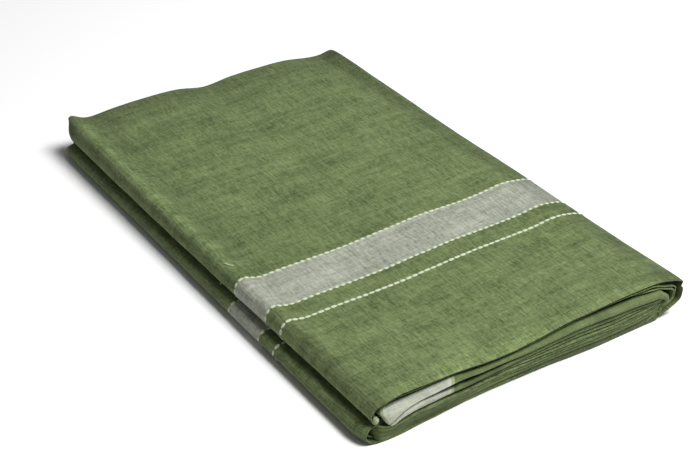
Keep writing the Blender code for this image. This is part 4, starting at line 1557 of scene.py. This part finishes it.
class LUNGI_OT_border_lines(bpy.types.Operator):
    """Adds the border's three dashed lines of thick yarn, on the outer sheet but for its underside"""

    bl_idname = "lungi.border_lines"
    bl_label = "Border lines"

    def execute(self, context):
        settings = looks()
        grid = outer_grid()
        tree = dash_tree()
        cream = yarn_material("cream yarn", settings.line_cream)
        for line in BORDER_LINES:
            points, facing = line_points(grid, line.place)
            first, last = np.flatnonzero(points[:, 2] < RESTING_HEIGHT)[[0, -1]]
            paths = [(points[kept], facing[kept]) for kept in (slice(0, first), slice(last + 1, None))]
            length, width = settings.dash_length * line.length, settings.dash_width * line.width
            yarn_piece(line.name, paths, tree, settings.dash_pitch, length, width, cream)
        green = yarn_material("pale green yarn", settings.knot_green)
        sizes = (size * MM for size in (KNOT_PITCH, KNOT_LENGTH, KNOT_WIDTH))
        yarn_piece("thread_knot", [knot_points(grid)], tree, *sizes, green)
        return {"FINISHED"}


class LUNGI_OT_stage(bpy.types.Operator):
    """Adds the pale floor, the soft light and the camera"""

    bl_idname = "lungi.stage"
    bl_label = "Stage"

    def execute(self, context):
        context.scene.view_settings.view_transform = "Standard"
        add_floor()
        add_lights(context.scene)
        add_camera(context.scene)
        return {"FINISHED"}


def add_floor():
    """A plain pale floor under the pack."""
    half = FLOOR_SIZE / 2
    mesh = bpy.data.meshes.new("floor")
    corners = [(-half, -half, 0.0), (half, -half, 0.0), (half, half, 0.0), (-half, half, 0.0)]
    mesh.from_pydata(corners, [], [(0, 1, 2, 3)])
    finish = {"Base Color": (*FLOOR_PALE, 1.0), "Roughness": 1.0, "Specular IOR Level": 0.0}
    mesh.materials.append(new_material("pale floor", finish)[0])
    placed("floor", mesh)


def add_lights(scene):
    """A large soft box above the front right, and a weak white surround."""
    data = bpy.data.lights.new("soft box", "AREA")
    data.shape = "SQUARE"
    data.size = KEY_SIZE
    data.energy = KEY_STRENGTH * math.pi * KEY_DISTANCE**2
    light = placed("soft box", data)
    light.location = Vector(KEY_FROM).normalized() * KEY_DISTANCE
    light.rotation_euler = light.location.to_track_quat("Z", "Y").to_euler()
    scene.world = bpy.data.worlds.new("surround")
    scene.world.use_nodes = True
    background = scene.world.node_tree.nodes["Background"]
    background.inputs[0].default_value = (1.0, 1.0, 1.0, 1.0)
    background.inputs[1].default_value = SURROUND_STRENGTH


def add_camera(scene):
    """The camera at the height and turn that the pack was seen from."""
    azimuth, elevation = math.radians(CAMERA_AZIMUTH), math.radians(CAMERA_ELEVATION)
    flat = math.cos(elevation)
    back = Vector((math.sin(azimuth) * flat, -math.cos(azimuth) * flat, math.sin(elevation)))
    data = bpy.data.cameras.new("camera")
    data.lens = CAMERA_LENS
    data.sensor_width = SENSOR_WIDTH
    side = Vector((0.0, 0.0, 1.0)).cross(back).normalized()
    turned = Matrix((side, back.cross(side), back)).transposed().to_4x4()
    scene.camera = placed("camera", data)
    scene.camera.matrix_world = Matrix.Translation(Vector(CAMERA_TARGET) + back * CAMERA_DISTANCE) @ turned


class LUNGI_PT_panel(bpy.types.Panel):
    """Lists the steps that build the folded lungi, in order"""

    bl_label = "Folded lungi"
    bl_idname = "LUNGI_PT_panel"
    bl_space_type = "VIEW_3D"
    bl_region_type = "UI"
    bl_category = "Lungi"

    def draw(self, context):
        for name in LungiLooks.__annotations__:
            self.layout.prop(looks(), name)
        for operator in OPERATORS:
            self.layout.operator(operator.bl_idname)


OPERATORS = (
    LUNGI_OT_outer_cloth,
    LUNGI_OT_second_cloth,
    LUNGI_OT_layer_stack,
    LUNGI_OT_end_folds,
    LUNGI_OT_border_lines,
    LUNGI_OT_stage,
)
CLASSES = (LungiLooks, *OPERATORS, LUNGI_PT_panel)


def register():
    """Adds the settings, the operators and the panel."""
    for each in CLASSES:
        bpy.utils.register_class(each)
    bpy.types.Scene.lungi_looks = PointerProperty(type=LungiLooks)


def unregister():
    """Takes them away again."""
    del bpy.types.Scene.lungi_looks
    for each in reversed(CLASSES):
        bpy.utils.unregister_class(each)


def main():
    """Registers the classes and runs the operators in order."""
    register()
    for operator in OPERATORS:
        group, name = operator.bl_idname.split(".")
        getattr(getattr(bpy.ops, group), name)()


if __name__ == "__main__":
    main()
